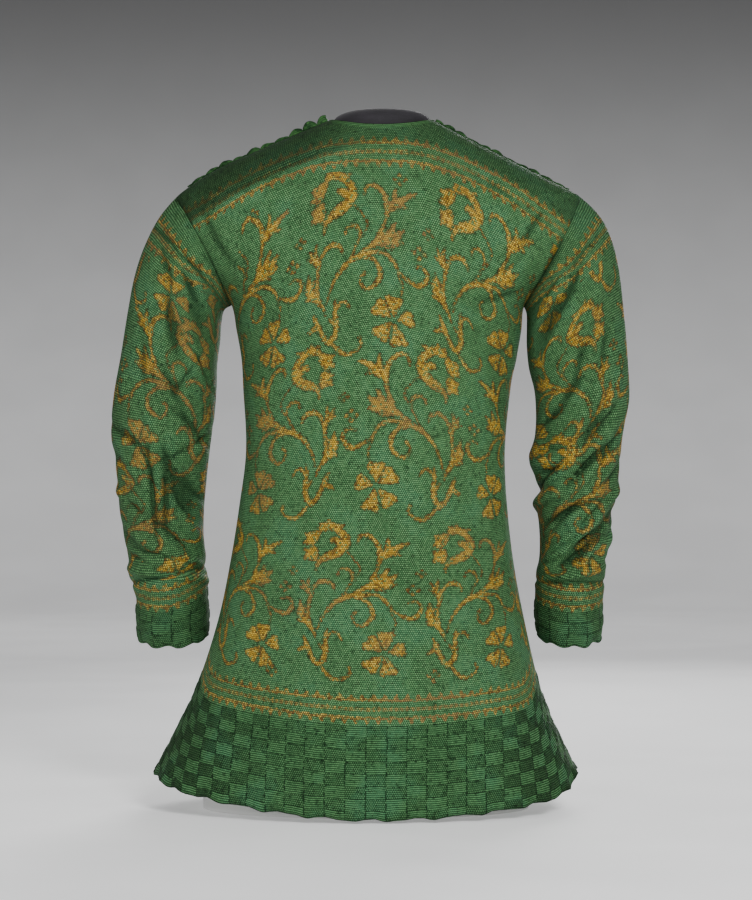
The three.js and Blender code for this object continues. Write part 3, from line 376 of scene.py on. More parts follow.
# The scroll pattern's chart, from the foot of its trunk: each stroke is a smooth line of
# (right, up, half width).
scrollStrokes = {
    "trunk": [(0, -3, 0.9), (-3, 6, 2.2), (-8, 14, 3.2), (-9, 25, 2.6), (-8, 38, 1.9), (-6.5, 50, 3)],
    "bud": [(-9, 14, 2.6), (-14, 21, 4.6), (-17, 28, 5), (-17, 35, 3), (-17.5, 42, 1)],
    "budLobe": [(-20, 18, 1.8), (-14, 18, 4)],
    "budThorn": [(-15, 32, 3), (-11, 35, 1.2)],
    "forkLeft": [(-7, 50, 3), (-12, 57, 3), (-16.5, 66, 1.2)],
    "forkLobe": [(-10, 55, 2.6), (-18, 58, 1.3)],
    "forkTop": [(-8, 52, 3), (-10, 60, 2.6), (-8.5, 70, 1.2)],
    "forkCurl": [(-6, 51, 2), (-1.5, 61, 2.2), (7, 66, 3), (15, 63, 2.4), (18, 56, 1.1)],
    "stem": [(1.5, 8, 1), (6, 23, 1.6), (15, 37, 2.7), (26, 46, 3.3), (39, 50, 3.5)],
    "volute": [(37, 49, 2.8), (49, 44, 2.3), (55.5, 35, 2.6), (56, 25, 2.7), (50, 17, 2.4), (42.5, 15, 1.9),
               (37.5, 20, 1.5), (36.5, 27, 1.4), (40, 31, 2.2)],
    "wave": [(39, 50, 3.5), (50, 51, 2.7), (60, 50, 2.1), (68, 45, 2.4), (73, 38, 1.9), (77, 32, 1.3),
             (87, 26, 2.5), (96, 24, 3.1), (103, 30, 2.8), (105, 38, 2.2), (99, 44, 1.6), (92, 42, 1.5)],
    "drop": [(73, 37, 1.4), (76, 28, 1), (79, 20, 1.2), (78, 10, 0.8)],
    "fan": [(38, 53, 2), (50, 59, 3.6), (60, 64, 6.6), (69, 66, 7.4)],
    "fanTipBack": [(57, 67, 4.6), (59, 78, 1.6)],
    "fanTipTop": [(66, 70, 4.6), (71, 81, 1.7)],
    "fanTipMiddle": [(71, 67, 5), (80, 75, 1.6)],
    "fanTipLow": [(70, 62, 5), (79, 63, 1.7)],
    "fanSpur": [(60, 58, 3), (69, 55, 1)],
    "calyxStem": [(56, 70, 3), (60.5, 80, 1.7), (63, 90, 2.6), (64, 98, 3.6)],
    "calyxHook": [(63, 97, 3), (61.5, 107, 3), (57, 115, 2.6), (49, 120.5, 2.5), (42, 118, 2),
                  (40, 110, 1.1)],
    "calyxHeart": [(65, 94, 3.6), (71, 100, 5.6), (78, 105, 4)],
    "calyxRight": [(76, 104, 4), (84, 109, 3), (91, 112, 2)],
    "calyxMiddle": [(71, 103, 4), (71, 116, 1.6)],
    "calyxSpur": [(75, 100, 3.6), (83, 98, 1.2)],
    "hook": [(26, 48, 1.4), (32, 60, 1.2), (36, 70, 1.4), (34.5, 77, 2), (28, 81, 1.9), (22, 78, 1.4),
             (21, 73, 1.3)],
    "thread": [(31, 60, 0.9), (40, 71, 1), (43.5, 81, 1), (38, 91, 1), (28, 103, 1)],
    "ringRight": [(19, 128, 4), (25.5, 122, 4.4), (29, 114, 4.8), (26.5, 106, 5.2), (19, 99, 5.8),
                  (10, 94.5, 5.2), (4, 91, 3.4), (0, 85, 2.1), (-1, 79, 1.2)],
    "ringHeart": [(25, 110, 5), (17, 115, 4), (14.5, 113, 2)],
    "ringTop": [(20, 128, 4.2), (14, 131, 5.2), (6, 130, 5), (3, 128, 3.4)],
    "ringTopTips": [(2.5, 135, 1.5), (9, 131, 4.6), (11, 138, 1.9)],
    "ringSpur": [(18, 130, 3.6), (27, 133, 1.4)],
    "ringLeft": [(-1, 123, 4.6), (-5.5, 117.5, 6.8), (-7.5, 112.5, 5)],
    "ringLeftTips": [(-12.5, 122, 1.9), (-6, 118, 6), (-13.5, 111, 1.9)],
    "ringLow": [(-3.5, 104, 4), (-6, 98.5, 7), (-4, 93, 4)],
    "ringLowTips": [(-13, 103, 1.9), (-7, 98, 6), (-13, 92, 1.9)],
    "tulipLeft": [(-13, 0, 1.3), (-9.5, -9, 3), (-5.5, -19, 2.7), (-1, -28, 3), (4, -32, 3.4)],
    "tulipLeaf": [(-10, -13, 3.4), (-18, -17, 2.2)],
    "tulipRight": [(4, -32, 3.4), (9.5, -25, 3.3), (11, -12, 3), (10, 0, 2.3), (11, 10, 1)],
    "tulipThorn": [(4, -8, 1.2), (9, -14, 2.6)],
    "tulipHook": [(11, -2, 1.9), (16, 5.5, 1.9), (22, 5, 1.9), (26, -2, 1.1)],
    "tail": [(7, -34, 1.6), (13, -42, 2.5), (21, -48, 2.5), (30, -46, 2), (36, -40, 1.8), (34.5, -33, 1.9)],
}
# a flower of wedge petals (turn, reach, half width), and diamonds (right, up, radius, dot)
rosette = {
    "right": 69.5, "up": -16, "heart": 5.5, "lean": 14, "start": 2, "round": 0.64,
    "edges": ((-1, 0.55), (0, 0.75), (1, 0.55)),
    "petals": [(88, 25, 6.8), (14, 21.5, 7.4), (-77, 27, 6.2), (-132, 26, 6.8), (142, 24.5, 7.8)],
}
diamonds = [(96, 57, 5.2, 2.4), (105, 77, 4.2, 1.9)]
loneDiamond = (0, 0, 5, 2.3)
scrollRepeat = {"across": 131, "scale": 0.93, "farthest": 6, "chartLeft": 40, "diamondHeight": 0.95}


def smoothLine(stroke, steps=4):
    rows = np.array(stroke, float)
    fine = np.linspace(0, len(rows) - 1, steps * (len(rows) - 1) + 1)
    return np.stack([curveThrough(np.arange(len(rows)), rows[:, key], fine) for key in range(3)], axis=-1)


def diamondLines(right, up, radius, dotSize):
    high = scrollRepeat["diamondHeight"]
    spots = [(right + radius * x, up + radius * y) for x, y in ((1, 0), (0, high), (-1, 0), (0, -high))]
    return [np.array([(x, y, dotSize), (x + 0.4, y, dotSize)]) for x, y in spots]


def rosetteLines():
    lines = []
    heart = np.array([rosette["right"], rosette["up"]])
    for turn, reach, wide in rosette["petals"]:
        for lean, drawnIn in rosette["edges"]:
            line = []
            for far, size, angle in ((rosette["heart"], rosette["start"], turn),
                                     (reach - wide * drawnIn, wide * rosette["round"],
                                      turn + lean * rosette["lean"])):
                way = np.radians(angle)
                line.append((*(heart + far * np.array([np.cos(way), np.sin(way)])), size))
            lines.append(np.array(line))
    return lines


def nearLines(best, u, v, lines, margin):
    for line in lines:
        low = line[:, :2].min(axis=0) - margin
        high = line[:, :2].max(axis=0) + margin
        near = np.nonzero((u > low[0]) & (u < high[0]) & (v > low[1]) & (v < high[1]))[0]
        if not len(near):
            continue
        spot = np.stack([u[near], v[near]], axis=-1)
        found = best[near]
        for a, b in zip(line[:-1], line[1:]):
            way = b[:2] - a[:2]
            t = np.clip(((spot - a[:2]) @ way) / max(way @ way, 1e-6), 0, 1)
            gap = np.hypot(*(spot - a[:2] - t[:, None] * way).T) - mix(a[2], b[2], t)
            found = np.minimum(found, gap)
        best[near] = found


# distance in millimetres to the nearest stroke, below zero inside it
def scrollDistance(right, down, feet, extras):
    margin, scale, period = (scrollRepeat[key] for key in ("farthest", "scale", "across"))
    best = np.full(right.shape, float(margin))
    for footRight, footDown, way, tall, chartRight, chartUp in feet:
        u = (right - footRight) * way / scale + chartRight
        v = (footDown - down) / (scale * tall) + chartUp
        u = np.mod(u + scrollRepeat["chartLeft"], period) - scrollRepeat["chartLeft"]
        for shift in (0, period):
            nearLines(best, u + shift, v, chart, margin)
    for extraRight, extraDown in extras:
        u, v = (right - extraRight) / scale, (extraDown - down) / scale
        nearLines(best, u, v, diamondLines(*loneDiamond), margin)
    return best * scale


chart = [smoothLine(stroke) for stroke in scrollStrokes.values()] + rosetteLines()
for diamond in diamonds:
    chart += diamondLines(*diamond)

# where a place of the chart lies on each piece: (x, z, which way it turns, height, right, up)
scrollFeet = {
    "back": [(-40.7, 470.5, 1, 1, 0, 0), (69, 316, -1, 1, 0, 0), (-50.5, 169, 1, 0.88, 0, 0)],
    "front_left": [(-40, 452, 1, 1, 0, 0), (-70, 300, -1, 1, 0, 0), (-60, 160, 1, 0.9, 0, 0)],
    "front_right": [(72, 452, 1, 1, 0, 0), (54, 300, -1, 1, 0, 0), (60, 160, 1, 0.9, 0, 0)],
    "sleeve_left": [(-187, 486, 1, 0.8, 69.5, -16), (-167, 440, -1, 0.9, 11, 108),
                    (-187, 225, 1, 0.72, 69.5, -16)],
    "sleeve_right": [(173, 475, 1, 0.9, 69.5, -16), (203, 456, -1, 0.84, 11, 108),
                     (199, 275, 1, 0.8, 40, 28)],
}
# where no pattern is worked, beside the armholes: (low x, high x, low z, high z)
bareBoxes = {"back": [(-170, -124, 506, 580)]}
loneDiamonds = {
    "back": [(28.2, 594), (-110, 561), (148, 540), (-90, 137), (58, 133)],
    "front_left": [(-60, 128)], "front_right": [(60, 128)], "sleeve_left": [], "sleeve_right": [],
}


def nearestPlace(points, right, down, x, z, toBack):
    farSide = np.where(points[..., 1] * toBack > 0, 0, 1000)
    reach = np.hypot(points[..., 0] - x, points[..., 2] - z) + farSide
    place = np.unravel_index(np.argmin(reach), reach.shape)
    return float(right[place]), float(down[place])


def scrollOn(name, points, right, down):
    toBack = 1 if name.startswith("front") else -1
    middle = points[..., 1].mean() if name.startswith("sleeve") else 0
    spots = points - np.array([0, middle, 0])
    feet = [(*nearestPlace(spots, right, down, x, z, toBack), *rest) for x, z, *rest in scrollFeet[name]]
    extras = [nearestPlace(spots, right, down, x, z, toBack) for x, z in loneDiamonds[name]]
    found = scrollDistance(right.ravel(), down.ravel(), feet, extras).reshape(right.shape)
    for lowX, highX, lowZ, highZ in bareBoxes.get(name, []):
        x, z = points[..., 0], points[..., 2]
        bare = (x > lowX) & (x < highX) & (z > lowZ) & (z < highZ)
        found = np.where(bare, scrollRepeat["farthest"], found)
    return found


innerStep = 4  # the inner wall has one face for this many outer ones, each way
doublesWithin = 0.00002  # metres


def bendGrid(bm, points):
    start = len(bm.verts)
    bmesh.ops.create_grid(bm, x_segments=points.shape[1] - 1, y_segments=points.shape[0] - 1, size=1)
    bm.verts.ensure_lookup_table()
    for vertex, spot in zip(bm.verts[start:], points.reshape(-1, 3) * mm):
        vertex.co = spot


def addObject(name, mesh):
    piece = bpy.data.objects.new(name, mesh)
    bpy.context.scene.collection.objects.link(piece)
    return piece


def standFor(piece, node):
    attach(piece, "root")
    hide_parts(node)


def finishMesh(bm, name):
    mesh = bpy.data.meshes.new(name)
    bm.to_mesh(mesh)
    bm.free()
    return mesh


def makeWall(name, outer, inner, uv, values, tube=False):
    rows, columns = outer.shape[0] - 1, outer.shape[1] - 1
    innerRows, innerColumns = inner.shape[0] - 1, inner.shape[1] - 1
    bm = bmesh.new()
    bendGrid(bm, outer)
    bendGrid(bm, inner)
    start = (rows + 1) * (columns + 1)
    bm.verts.ensure_lookup_table()

    def rim(outerAt, innerAt, count):
        for part in range(count):
            line = [outerAt(part * innerStep + place) for place in range(innerStep + 1)]
            line += [innerAt(part + 1), innerAt(part)]
            bm.faces.new([bm.verts[index] for index in line])

    for row, innerRow in ((0, 0), (rows, innerRows)):
        rim(lambda c: row * (columns + 1) + c,
            lambda c: start + innerRow * (innerColumns + 1) + c, innerColumns)
    if not tube:
        for column, innerColumn in ((0, 0), (columns, innerColumns)):
            rim(lambda r: r * (columns + 1) + column,
                lambda r: start + r * (innerColumns + 1) + innerColumn, innerRows)
    mesh = finishMesh(bm, name)
    allUv = np.concatenate([uv.reshape(-1, 2), uv[::innerStep, ::innerStep].reshape(-1, 2)])
    corners = np.zeros(len(mesh.loops), int)
    mesh.loops.foreach_get("vertex_index", corners)
    layer = mesh.uv_layers.new(name="stitches")
    layer.data.foreach_set("uv", allUv[corners].ravel().astype(np.float32))
    for label, field in values.items():
        everywhere = np.concatenate([field.ravel(), field[::innerStep, ::innerStep].ravel()])
        attribute = mesh.attributes.new(label, "FLOAT", "POINT")
        attribute.data.foreach_set("value", everywhere.astype(np.float32))
    bm = bmesh.new()
    bm.from_mesh(mesh)
    if tube:
        bmesh.ops.remove_doubles(bm, verts=bm.verts, dist=doublesWithin)
    bmesh.ops.recalc_face_normals(bm, faces=bm.faces)
    bm.to_mesh(mesh)
    bm.free()
    mesh.shade_smooth()
    return addObject(name, mesh)


def lengthsAlong(points, axis):
    steps = np.linalg.norm(np.diff(points, axis=axis), axis=-1)
    return np.concatenate([np.zeros_like(steps.take([0], axis)), np.cumsum(steps, axis)], axis)


# The basket-stitch squares. The bands' first lines lie this far above the edges and below the
# armholes, and the squares start this far below them.
basket = {"wide": 18.9, "tall": 11.2, "relief": 0.8, "columnEdge": 0.74, "rowEdge": 0.6}
bands = {
    "hem": 110, "cuff": 57, "sleeveTop": 20, "underarm": 3, "underarmSpread": 1.6,
    "hemSquares": 23.5, "cuffSquares": 22, "sideRise": 20,
}
# The panels: folds and creases are (x, z, slope in degrees, length, width, lift), and yoke is the
# first line of the top band across each face.
panels = {
    "halfColumns": 120, "rows": 376, "creaseDepth": 1.6, "edgeWave": 1.2, "edgeLean": 1.6,
    "edgeReach": 9, "centreGap": 0.75, "seamDip": -0.5, "seamDipWidth": 3, "yokeScale": 0.92,
    "longWave": (41, 0.8), "shortWave": 23, "leanWave": (37, 2), "calmTop": 0.06, "calmSides": 6,
    "riseFrom": (0.7, 1.02), "riseBend": 1.5, "riseFade": 60, "seamShadeWidth": 8,
    "underarm": ((560, 520), (440, 480)), "rimDown": (4.6, 3.8), "rimAcross": (56, 50),
    "back": {
        "folds": [
            (-104, 452, 62, 42, 12, -3), (112, 446, -64, 46, 12, -3.5), (-92, 330, 35, 40, 16, -2),
            (92, 318, -30, 40, 16, -2), (-112, 92, 80, 80, 22, -4), (-46, 80, 86, 84, 20, 3),
            (38, 76, -86, 80, 22, -3), (120, 90, -80, 84, 24, 3),
        ],
        "creases": [
            (-98, 600, 24, 66, 3.4, -2), (-92, 605, 25, 64, 4, 1.4), (120, 588, -32, 34, 4, -1.2),
            (-146, 545, -64, 26, 4.5, -2.4), (-132, 530, -60, 28, 4, 1.6), (-120, 508, -52, 26, 4, -2),
            (-108, 492, -46, 26, 4, 1.4), (150, 545, 62, 26, 4.5, -2.8), (140, 525, 56, 26, 4, 2),
            (130, 510, 48, 24, 3.6, -2.6), (118, 498, 34, 26, 4, 2), (124, 486, 20, 22, 3.4, -2.2),
            (-60, 300, 10, 50, 5, 0.8), (50, 285, -8, 60, 5, -0.8), (-20, 205, 4, 60, 5, 0.7),
        ],
        "yokeX": [-149.4, -102.7, -53.1, -23.2, 11.4, 46.9, 84.3, 131, 177.8],
        "yokeZ": [580, 606.1, 625.3, 630, 630.9, 628.6, 616.9, 592.6, 560.8],
    },
    "front": {
        "folds": [
            (-100, 450, 60, 42, 12, -3), (104, 448, -60, 42, 12, -3), (-70, 330, 20, 40, 14, -2.5),
            (72, 322, -22, 40, 14, -2.5), (-104, 86, 80, 84, 24, 3.5), (-50, 80, 84, 80, 20, -3),
            (54, 84, -84, 80, 20, -3), (116, 86, -80, 84, 24, 3.5),
        ],
        "creases": [
            (-140, 540, -62, 26, 4.5, -2.2), (-122, 510, -50, 26, 4, 1.6), (142, 542, 60, 26, 4.5, -2.2),
            (124, 510, 48, 26, 4, 1.8), (-70, 300, 10, 40, 5, 0.8), (62, 290, -8, 40, 5, -0.8),
        ],
        "yokeX": [-149, -103, -62, -30, 8, 46, 78, 131, 178],
        "yokeZ": [578, 600, 610, 602, 598, 602, 609, 590, 558],
    },
}


def basketRelief(right, down):
    square = np.floor(right / basket["wide"]) + np.floor(down / basket["tall"])
    nearU = np.abs(np.mod(right / basket["wide"], 1) - 0.5) * 2
    nearV = np.abs(np.mod(down / basket["tall"], 1) - 0.5) * 2
    groove = np.maximum(ease(basket["columnEdge"], 1, nearU), ease(basket["rowEdge"], 1, nearV))
    return (np.mod(square, 2) == 0) * basket["relief"] * (1 - groove) * ease(0, 2, down)


def hump(distance, width):
    return np.exp(-((distance / width) ** 2))


def ripple(right, wave, shift=0):
    return np.sin(2 * np.pi * right / wave + shift)


def makePanel(name, face, sides):
    own, out = panels[face], faceSign[face]
    downs = np.linspace(0, 1, panels["rows"] + 1)
    shares = np.linspace(0, 1, panels["halfColumns"] + 1)
    halves = {side: halfPanel(side, face, shares, downs) for side in sides}
    if len(sides) == 2:
        points = np.concatenate([halves["left"][:, :0:-1], halves["right"]], axis=1)
        signed = np.concatenate([-shares[:0:-1], shares])
    else:
        points, signed = halves[sides[0]], shares * sideSign[sides[0]]
        points[:, 0, 0] += panels["centreGap"] * sideSign[sides[0]]
    middle = np.stack([0 * downs, 0 * downs, points[:, 0, 2]], axis=-1)
    normals = gridNormals(points, middle, False)
    calm = (1 - np.abs(signed) ** panels["calmSides"]) * ease(0, panels["calmTop"], downs)[:, None]
    creases = panels["creaseDepth"] * foldsOn(points, own["creases"])
    lift = (foldsOn(points, own["folds"]) + creases) * calm
    points = points + normals * lift[..., None]

    centre = int(np.argmin(np.abs(signed)))
    right = lengthsAlong(points, 1)
    right = right - right[:, centre:centre + 1]
    down = np.broadcast_to(lengthsAlong(points[:, centre:centre + 1], 0), right.shape)
    total = down[-1, 0]
    fromHem = total - down

    edge = np.exp(-fromHem / panels["edgeReach"])
    waves = ripple(right, *panels["longWave"]) + ripple(right, panels["shortWave"]) / 2
    points[..., 2] += panels["edgeWave"] * waves * edge
    normals = gridNormals(points, middle, False)
    lean = panels["edgeLean"] * ripple(right, *panels["leanWave"])
    points = points + normals * (lean * edge)[..., None]
    normals = gridNormals(points, middle, False)

    for side in sides:
        last = 0 if side == "left" and len(sides) == 2 else len(signed) - 1
        z = points[:, last, 2]
        step = armholeStep(z)
        steps = sleeveShape["armholeSteps"]
        half = np.interp(np.clip(step, 0, 1), steps, np.linspace(0, 180, len(steps)))
        spot, across, rise = armholeSeam(side, half if face == "back" else 360 - half)
        beside = step < 1
        points[beside, last] = (spot - across * seamHalfGap)[beside]
        normals[beside, last] = rise[beside]
        normals[~beside, last] = sideNormal(side, z)[~beside]
        points[~beside, last, 1] = out * seamHalfGap
        onShoulder = signed * sideSign[side] >= neckShare - 1e-6
        spots = points[0, onShoulder]
        fromMiddle = np.abs(spots[:, 0] - section("centreX", spots[:, 2]))
        normals[0, onShoulder] = shoulderNormal(side, fromMiddle)
        points[0, onShoulder, 1] = out * seamHalfGap

    sideRise = bands["sideRise"] * ease(*panels["riseFrom"], np.abs(signed)) ** panels["riseBend"]
    belowBand = down - (total - bands["hem"]) + sideRise * ease(0, panels["riseFade"], fromHem)
    relief = basketRelief(right, belowBand - bands["hemSquares"])
    fromSeam = (1 - np.abs(signed)) * shoulder["halfWidth"]
    seamDip = panels["seamDip"] * hump(fromSeam, panels["seamDipWidth"])
    high, low = panels["underarm"]
    underarm = ease(*high, points[..., 2]) * ease(*low, points[..., 2])
    # painted shade along the armhole seam near the underarm, and in the creases' troughs
    seamShade = np.where(signed > 0, armhole["paintedShade"]["right"], armhole["paintedShade"]["left"])
    seamShade = seamShade * hump(fromSeam, panels["seamShadeWidth"]) * underarm
    outer = points + normals * (wallHalf + relief + seamDip)[..., None]
    inner = (points - normals * wallHalf)[::innerStep, ::innerStep]
    yoke = curveThrough(own["yokeX"], own["yokeZ"], points[..., 0]) - points[..., 2]
    values = {"scroll": scrollOn(name, points, right, down), "topBand": yoke * panels["yokeScale"],
              "lowBand": belowBand,
              "rim": ease(*panels["rimDown"], down) * ease(*panels["rimAcross"], np.abs(right)),
              "paintedShade": seamShade - creases}
    print(name, "length", round(total, 1), "widest", round(np.ptp(right, axis=1).max(), 1))
    return makeWall(name + "_knit", outer, inner, np.stack([right, down], axis=-1), values)


def makeSleeve(name, side):
    own, shape = sleeves[side], sleeveShape
    trial = np.linspace(0, len(own["outX"]), 400)
    spine = sum(sleevePoint(side, turn, trial) for turn in (0.0, 90.0, 180.0, 270.0)) / 4
    reach = lengthsAlong(spine, 0)
    total = reach[-1]
    rings = np.interp(np.linspace(0, total, shape["rows"] + 1), reach, trial)
    turns = np.linspace(180, 180 + 360, shape["columns"] + 1)
    turn, ring = np.meshgrid(turns, rings)
    points = sleevePoint(side, turn, ring)
    middle = points[:, :-1].mean(axis=1)
    normals = gridNormals(points, middle, True)
    lift = np.zeros_like(turn)
    for depth, folds in ((1, own["folds"]), (shape["creaseDepth"], own["creases"])):
        for foldTurn, z, *rest in folds:
            apart = np.mod(turn - foldTurn + 540, 360) - 180
            lift += depth * foldHeight(np.radians(apart) * shape["radius"], z - points[..., 2], *rest)
    half = halfTurn(turn)
    down = np.broadcast_to(np.interp(rings, trial, reach)[:, None], turn.shape)
    lift *= ease(*shape["foldsFrom"], ring) * (1 - ease(*shape["foldsTo"], ring))
    fromArmhole, deep = own["topCrease"]
    topCrease = hump(down - fromArmhole + half / shape["creaseFall"], shape["creaseWidth"])
    lift += deep * topCrease * np.sin(np.radians(half)) ** 0.5
    points = points + normals * lift[..., None]
    around = lengthsAlong(points, 1)
    right = -sideSign[side] * (around - around[:, -1:] / 2)  # rightwards as seen from the back

    edge = np.exp(-(total - down) / shape["edgeReach"])
    points[..., 2] += shape["edgeWave"] * np.sin(np.radians(turn) * shape["waves"] + 1) * edge
    normals = gridNormals(points, middle, True)
    lean = shape["edgeLean"] * np.sin(np.radians(turn) * shape["leans"])
    points = points + normals * (lean * edge)[..., None]
    normals = gridNormals(points, middle, True)
    spot, across, rise = armholeSeam(side, turns)
    points[0] = spot + across * seamHalfGap
    normals[0] = rise

    belowBand = down - (total - bands["cuff"]) + own["cuffRise"] * ease(*shape["cuffRiseTo"], half)
    relief = basketRelief(right, belowBand - bands["cuffSquares"])
    seamDip = panels["seamDip"] * hump(down, panels["seamDipWidth"])
    outer = points + normals * (wallHalf + relief + seamDip)[..., None]
    outer[:, -1] = outer[:, 0]
    inner = (points - normals * wallHalf)[::innerStep, ::innerStep].copy()
    inner[:, -1] = inner[:, 0]
    # painted shade along the armhole seam, and in the troughs of the folds and creases
    seamShade = armhole["paintedShade"][side] * hump(down, shape["seamShadeWidth"]) * ease(*shape["seamShadeFrom"], half)
    pinch = ease(*shape["bandNarrows"], half)
    topBand = down - mix(bands["sleeveTop"], bands["underarm"], pinch)
    values = {"scroll": scrollOn(name, points, right, down),
              "topBand": topBand * mix(1, bands["underarmSpread"], pinch),
              "lowBand": belowBand, "rim": 0 * down, "paintedShade": seamShade - lift}
    print(name, "length", round(total, 1), "round", round(np.ptp(right, axis=1).max(), 1))
    return makeWall(name + "_knit", outer, inner, np.stack([right, down], axis=-1), values, tube=True)


pieces = {
    "back": makePanel("back", "back", ("left", "right")),
    "front_left": makePanel("front_left", "front", ("left",)),
    "front_right": makePanel("front_right", "front", ("right",)),
    "sleeve_left": makeSleeve("sleeve_left", "left"),
    "sleeve_right": makeSleeve("sleeve_right", "right"),
}
print("cloth shells done")


def srgb(red, green, blue):
    shades = np.array([red, green, blue]) / 255
    linear = np.where(shades <= 0.04045, shades / 12.92, ((shades + 0.055) / 1.055) ** 2.4)
    return (*[float(value) for value in linear], 1.0)


# a node's output that takes part in sums, so that a material reads as plain arithmetic
class Wire:
    def __init__(self, tree, socket):
        self.tree = tree
        self.socket = socket

    def __add__(self, other):
        return calc("ADD", self, other)

    def __sub__(self, other):
        return calc("SUBTRACT", self, other)

    def __rsub__(self, other):
        return calc("SUBTRACT", other, self)

    def __mul__(self, other):
        return calc("MULTIPLY", self, other)

    def __truediv__(self, other):
        return calc("DIVIDE", self, other)

    def __abs__(self):
        return calc("ABSOLUTE", self)


def feed(socket, value):
    if isinstance(value, Wire):
        value.tree.links.new(value.socket, socket)
    else:
        socket.default_value = value


def addNode(tree, kind, inputs, **settings):
    step = tree.nodes.new("ShaderNode" + kind)
    for key, setting in settings.items():
        setattr(step, key, setting)
    for place, value in inputs.items():
        feed(step.inputs[place], value)
    return [Wire(tree, socket) for socket in step.outputs]


def treeOf(*values):
    return next(value.tree for value in values if isinstance(value, Wire))


def calc(operation, *values):
    return addNode(treeOf(*values), "Math", dict(enumerate(values)), operation=operation)[0]


# goes from toLow to toHigh while the value goes from low to high
def fade(value, low, high, toLow=0.0, toHigh=1.0):
    inputs = dict(enumerate((value, low, high, toLow, toHigh)))
    return addNode(value.tree, "MapRange", inputs, interpolation_type="SMOOTHSTEP")[0]


def blend(share, first, second, kind="MIX"):
    inputs = {0: share, 6: first, 7: second}
    return addNode(treeOf(share, first, second), "Mix", inputs, data_type="RGBA", blend_type=kind)[2]


def noise(spot, scale, detail=2.0, rough=0.5):
    inputs = {"Vector": spot, "Scale": scale, "Detail": detail, "Roughness": rough}
    return addNode(spot.tree, "TexNoise", inputs)[0]


def objectSpot(tree):  # and its height
    spot = addNode(tree, "TexCoord", {})[3]
    return spot, addNode(tree, "SeparateXYZ", {0: spot})[2]


def stitchPlace(tree):  # across and down the cloth
    place = addNode(tree, "UVMap", {}, uv_map="stitches")[0]
    return addNode(tree, "SeparateXYZ", {0: place})[:2]


def newMaterial(name):
    material = bpy.data.materials.new(name)
    material.use_nodes = True
    return material, material.node_tree, material.node_tree.nodes["Principled BSDF"].inputs


def emboss(shader, height, strength, depth):  # the depth is in metres
    inputs = {"Height": height, "Strength": strength, "Distance": depth}
    feed(shader["Normal"], addNode(height.tree, "Bump", inputs)[0])


def newGroup(name, inputs, outputs):
    tree = bpy.data.node_groups.new(name, "ShaderNodeTree")
    for way, labels in (("INPUT", inputs), ("OUTPUT", outputs)):
        for label in labels:
            tree.interface.new_socket(name=label, in_out=way, socket_type="NodeSocketFloat")
    starts = tree.nodes.new("NodeGroupInput").outputs
    ends = tree.nodes.new("NodeGroupOutput").inputs
    return tree, [Wire(tree, starts[label]) for label in inputs], ends


def useGroup(group, **values):
    outputs = addNode(treeOf(*values.values()), "Group", values, node_tree=group)
    return {wire.socket.name: wire for wire in outputs}


stitch = {"wide": 2.05, "tall": 1.9, "legLean": 0.9, "barWidth": 1.15}


# one knitted stitch: two legs that lean together, or the bar of a purl stitch
def stitchGroup():
    tree, (column, row, purl), outputs = newGroup(
        "knitStitch", ["Column", "Row", "Purl"], ["Height", "Grain", "Grain2"])
    rowNumber = calc("FLOOR", row)
    column = column + rowNumber * 0.5
    aside = abs(calc("FRACT", column) - 0.5)
    leg = calc("FRACT", row + aside * stitch["legLean"])
    knitHigh = calc("SINE", leg * float(np.pi)) * (1.0 - calc("POWER", aside * 2.0, 4.0))
    purlHigh = calc("SINE", calc("FRACT", row) * float(np.pi)) * (stitch["barWidth"] - aside)
    feed(outputs["Height"], addNode(tree, "Mix", {0: purl, 2: knitHigh, 3: purlHigh})[0])
    cell = addNode(tree, "CombineXYZ", {0: calc("FLOOR", column), 1: rowNumber})[0]
    grain, colour = addNode(tree, "TexWhiteNoise", {"Vector": cell}, noise_dimensions="2D")
    feed(outputs["Grain"], grain)
    feed(outputs["Grain2"], addNode(tree, "SeparateColor", {0: colour})[1])
    return tree


guard = {
    "apart": 16.6, "period": 10.4, "lineHalf": 1.3, "toothMiddle": 2.6, "toothHalf": 2.8,
    "toothWidth": (1.0, 6.0, 2.7, 1.0), "dotHalf": 1.9, "dotShift": 2.0, "dots": (2.0, 0.9, 0.35, 0.85),
}


# three guard lines in millimetres: blunt teeth point up from the first and down from the last
def bandGroup():
    tree, (across, down), outputs = newGroup("guardBand", ["Across", "Down"], ["Mask"])
    apart, period = guard["apart"], guard["period"]

    def within(value, centre, half, soft=0.5):
        return fade(abs(value - centre), half + soft, half - soft)

    def away(length, shift):
        return abs(calc("FRACT", (across + shift) / length) - 0.5) * length

    def teeth(height, shift):
        wide = fade(height, *guard["toothWidth"])
        inside = fade(away(period, shift) - wide, 0.5, -0.5)
        return inside * within(height, guard["toothMiddle"], guard["toothHalf"])

    dots = fade(away(period / 2, guard["dotShift"]), *guard["dots"])
    mask = within(down, 0.0, guard["lineHalf"])
    for other in (within(down, apart, guard["lineHalf"]), teeth(down * -1.0, 0.0),
                  teeth(down - apart, period / 2), dots * within(down, apart / 2, guard["dotHalf"])):
        mask = calc("MAXIMUM", mask, other)
    feed(outputs["Mask"], mask)
    return tree


# squares of knit and purl in turn: which it is, and how near its edge
def basketGroup():
    tree, (across, down), outputs = newGroup("basketSquares", ["Across", "Down"], ["Purl", "Edge"])
    across, down = across / basket["wide"], down / basket["tall"]
    both = calc("FLOOR", across) + calc("FLOOR", down)
    feed(outputs["Purl"], calc("GREATER_THAN", calc("FRACT", both / 2.0 + 0.01), 0.25))

    def nearness(value, low):
        return fade(abs(calc("FRACT", value) - 0.5), low, 0.495)

    feed(outputs["Edge"], calc("MAXIMUM", nearness(across, 0.44), nearness(down, 0.41) * 0.6))
    return tree


stitchNodes, bandNodes, basketNodes = stitchGroup(), bandGroup(), basketGroup()

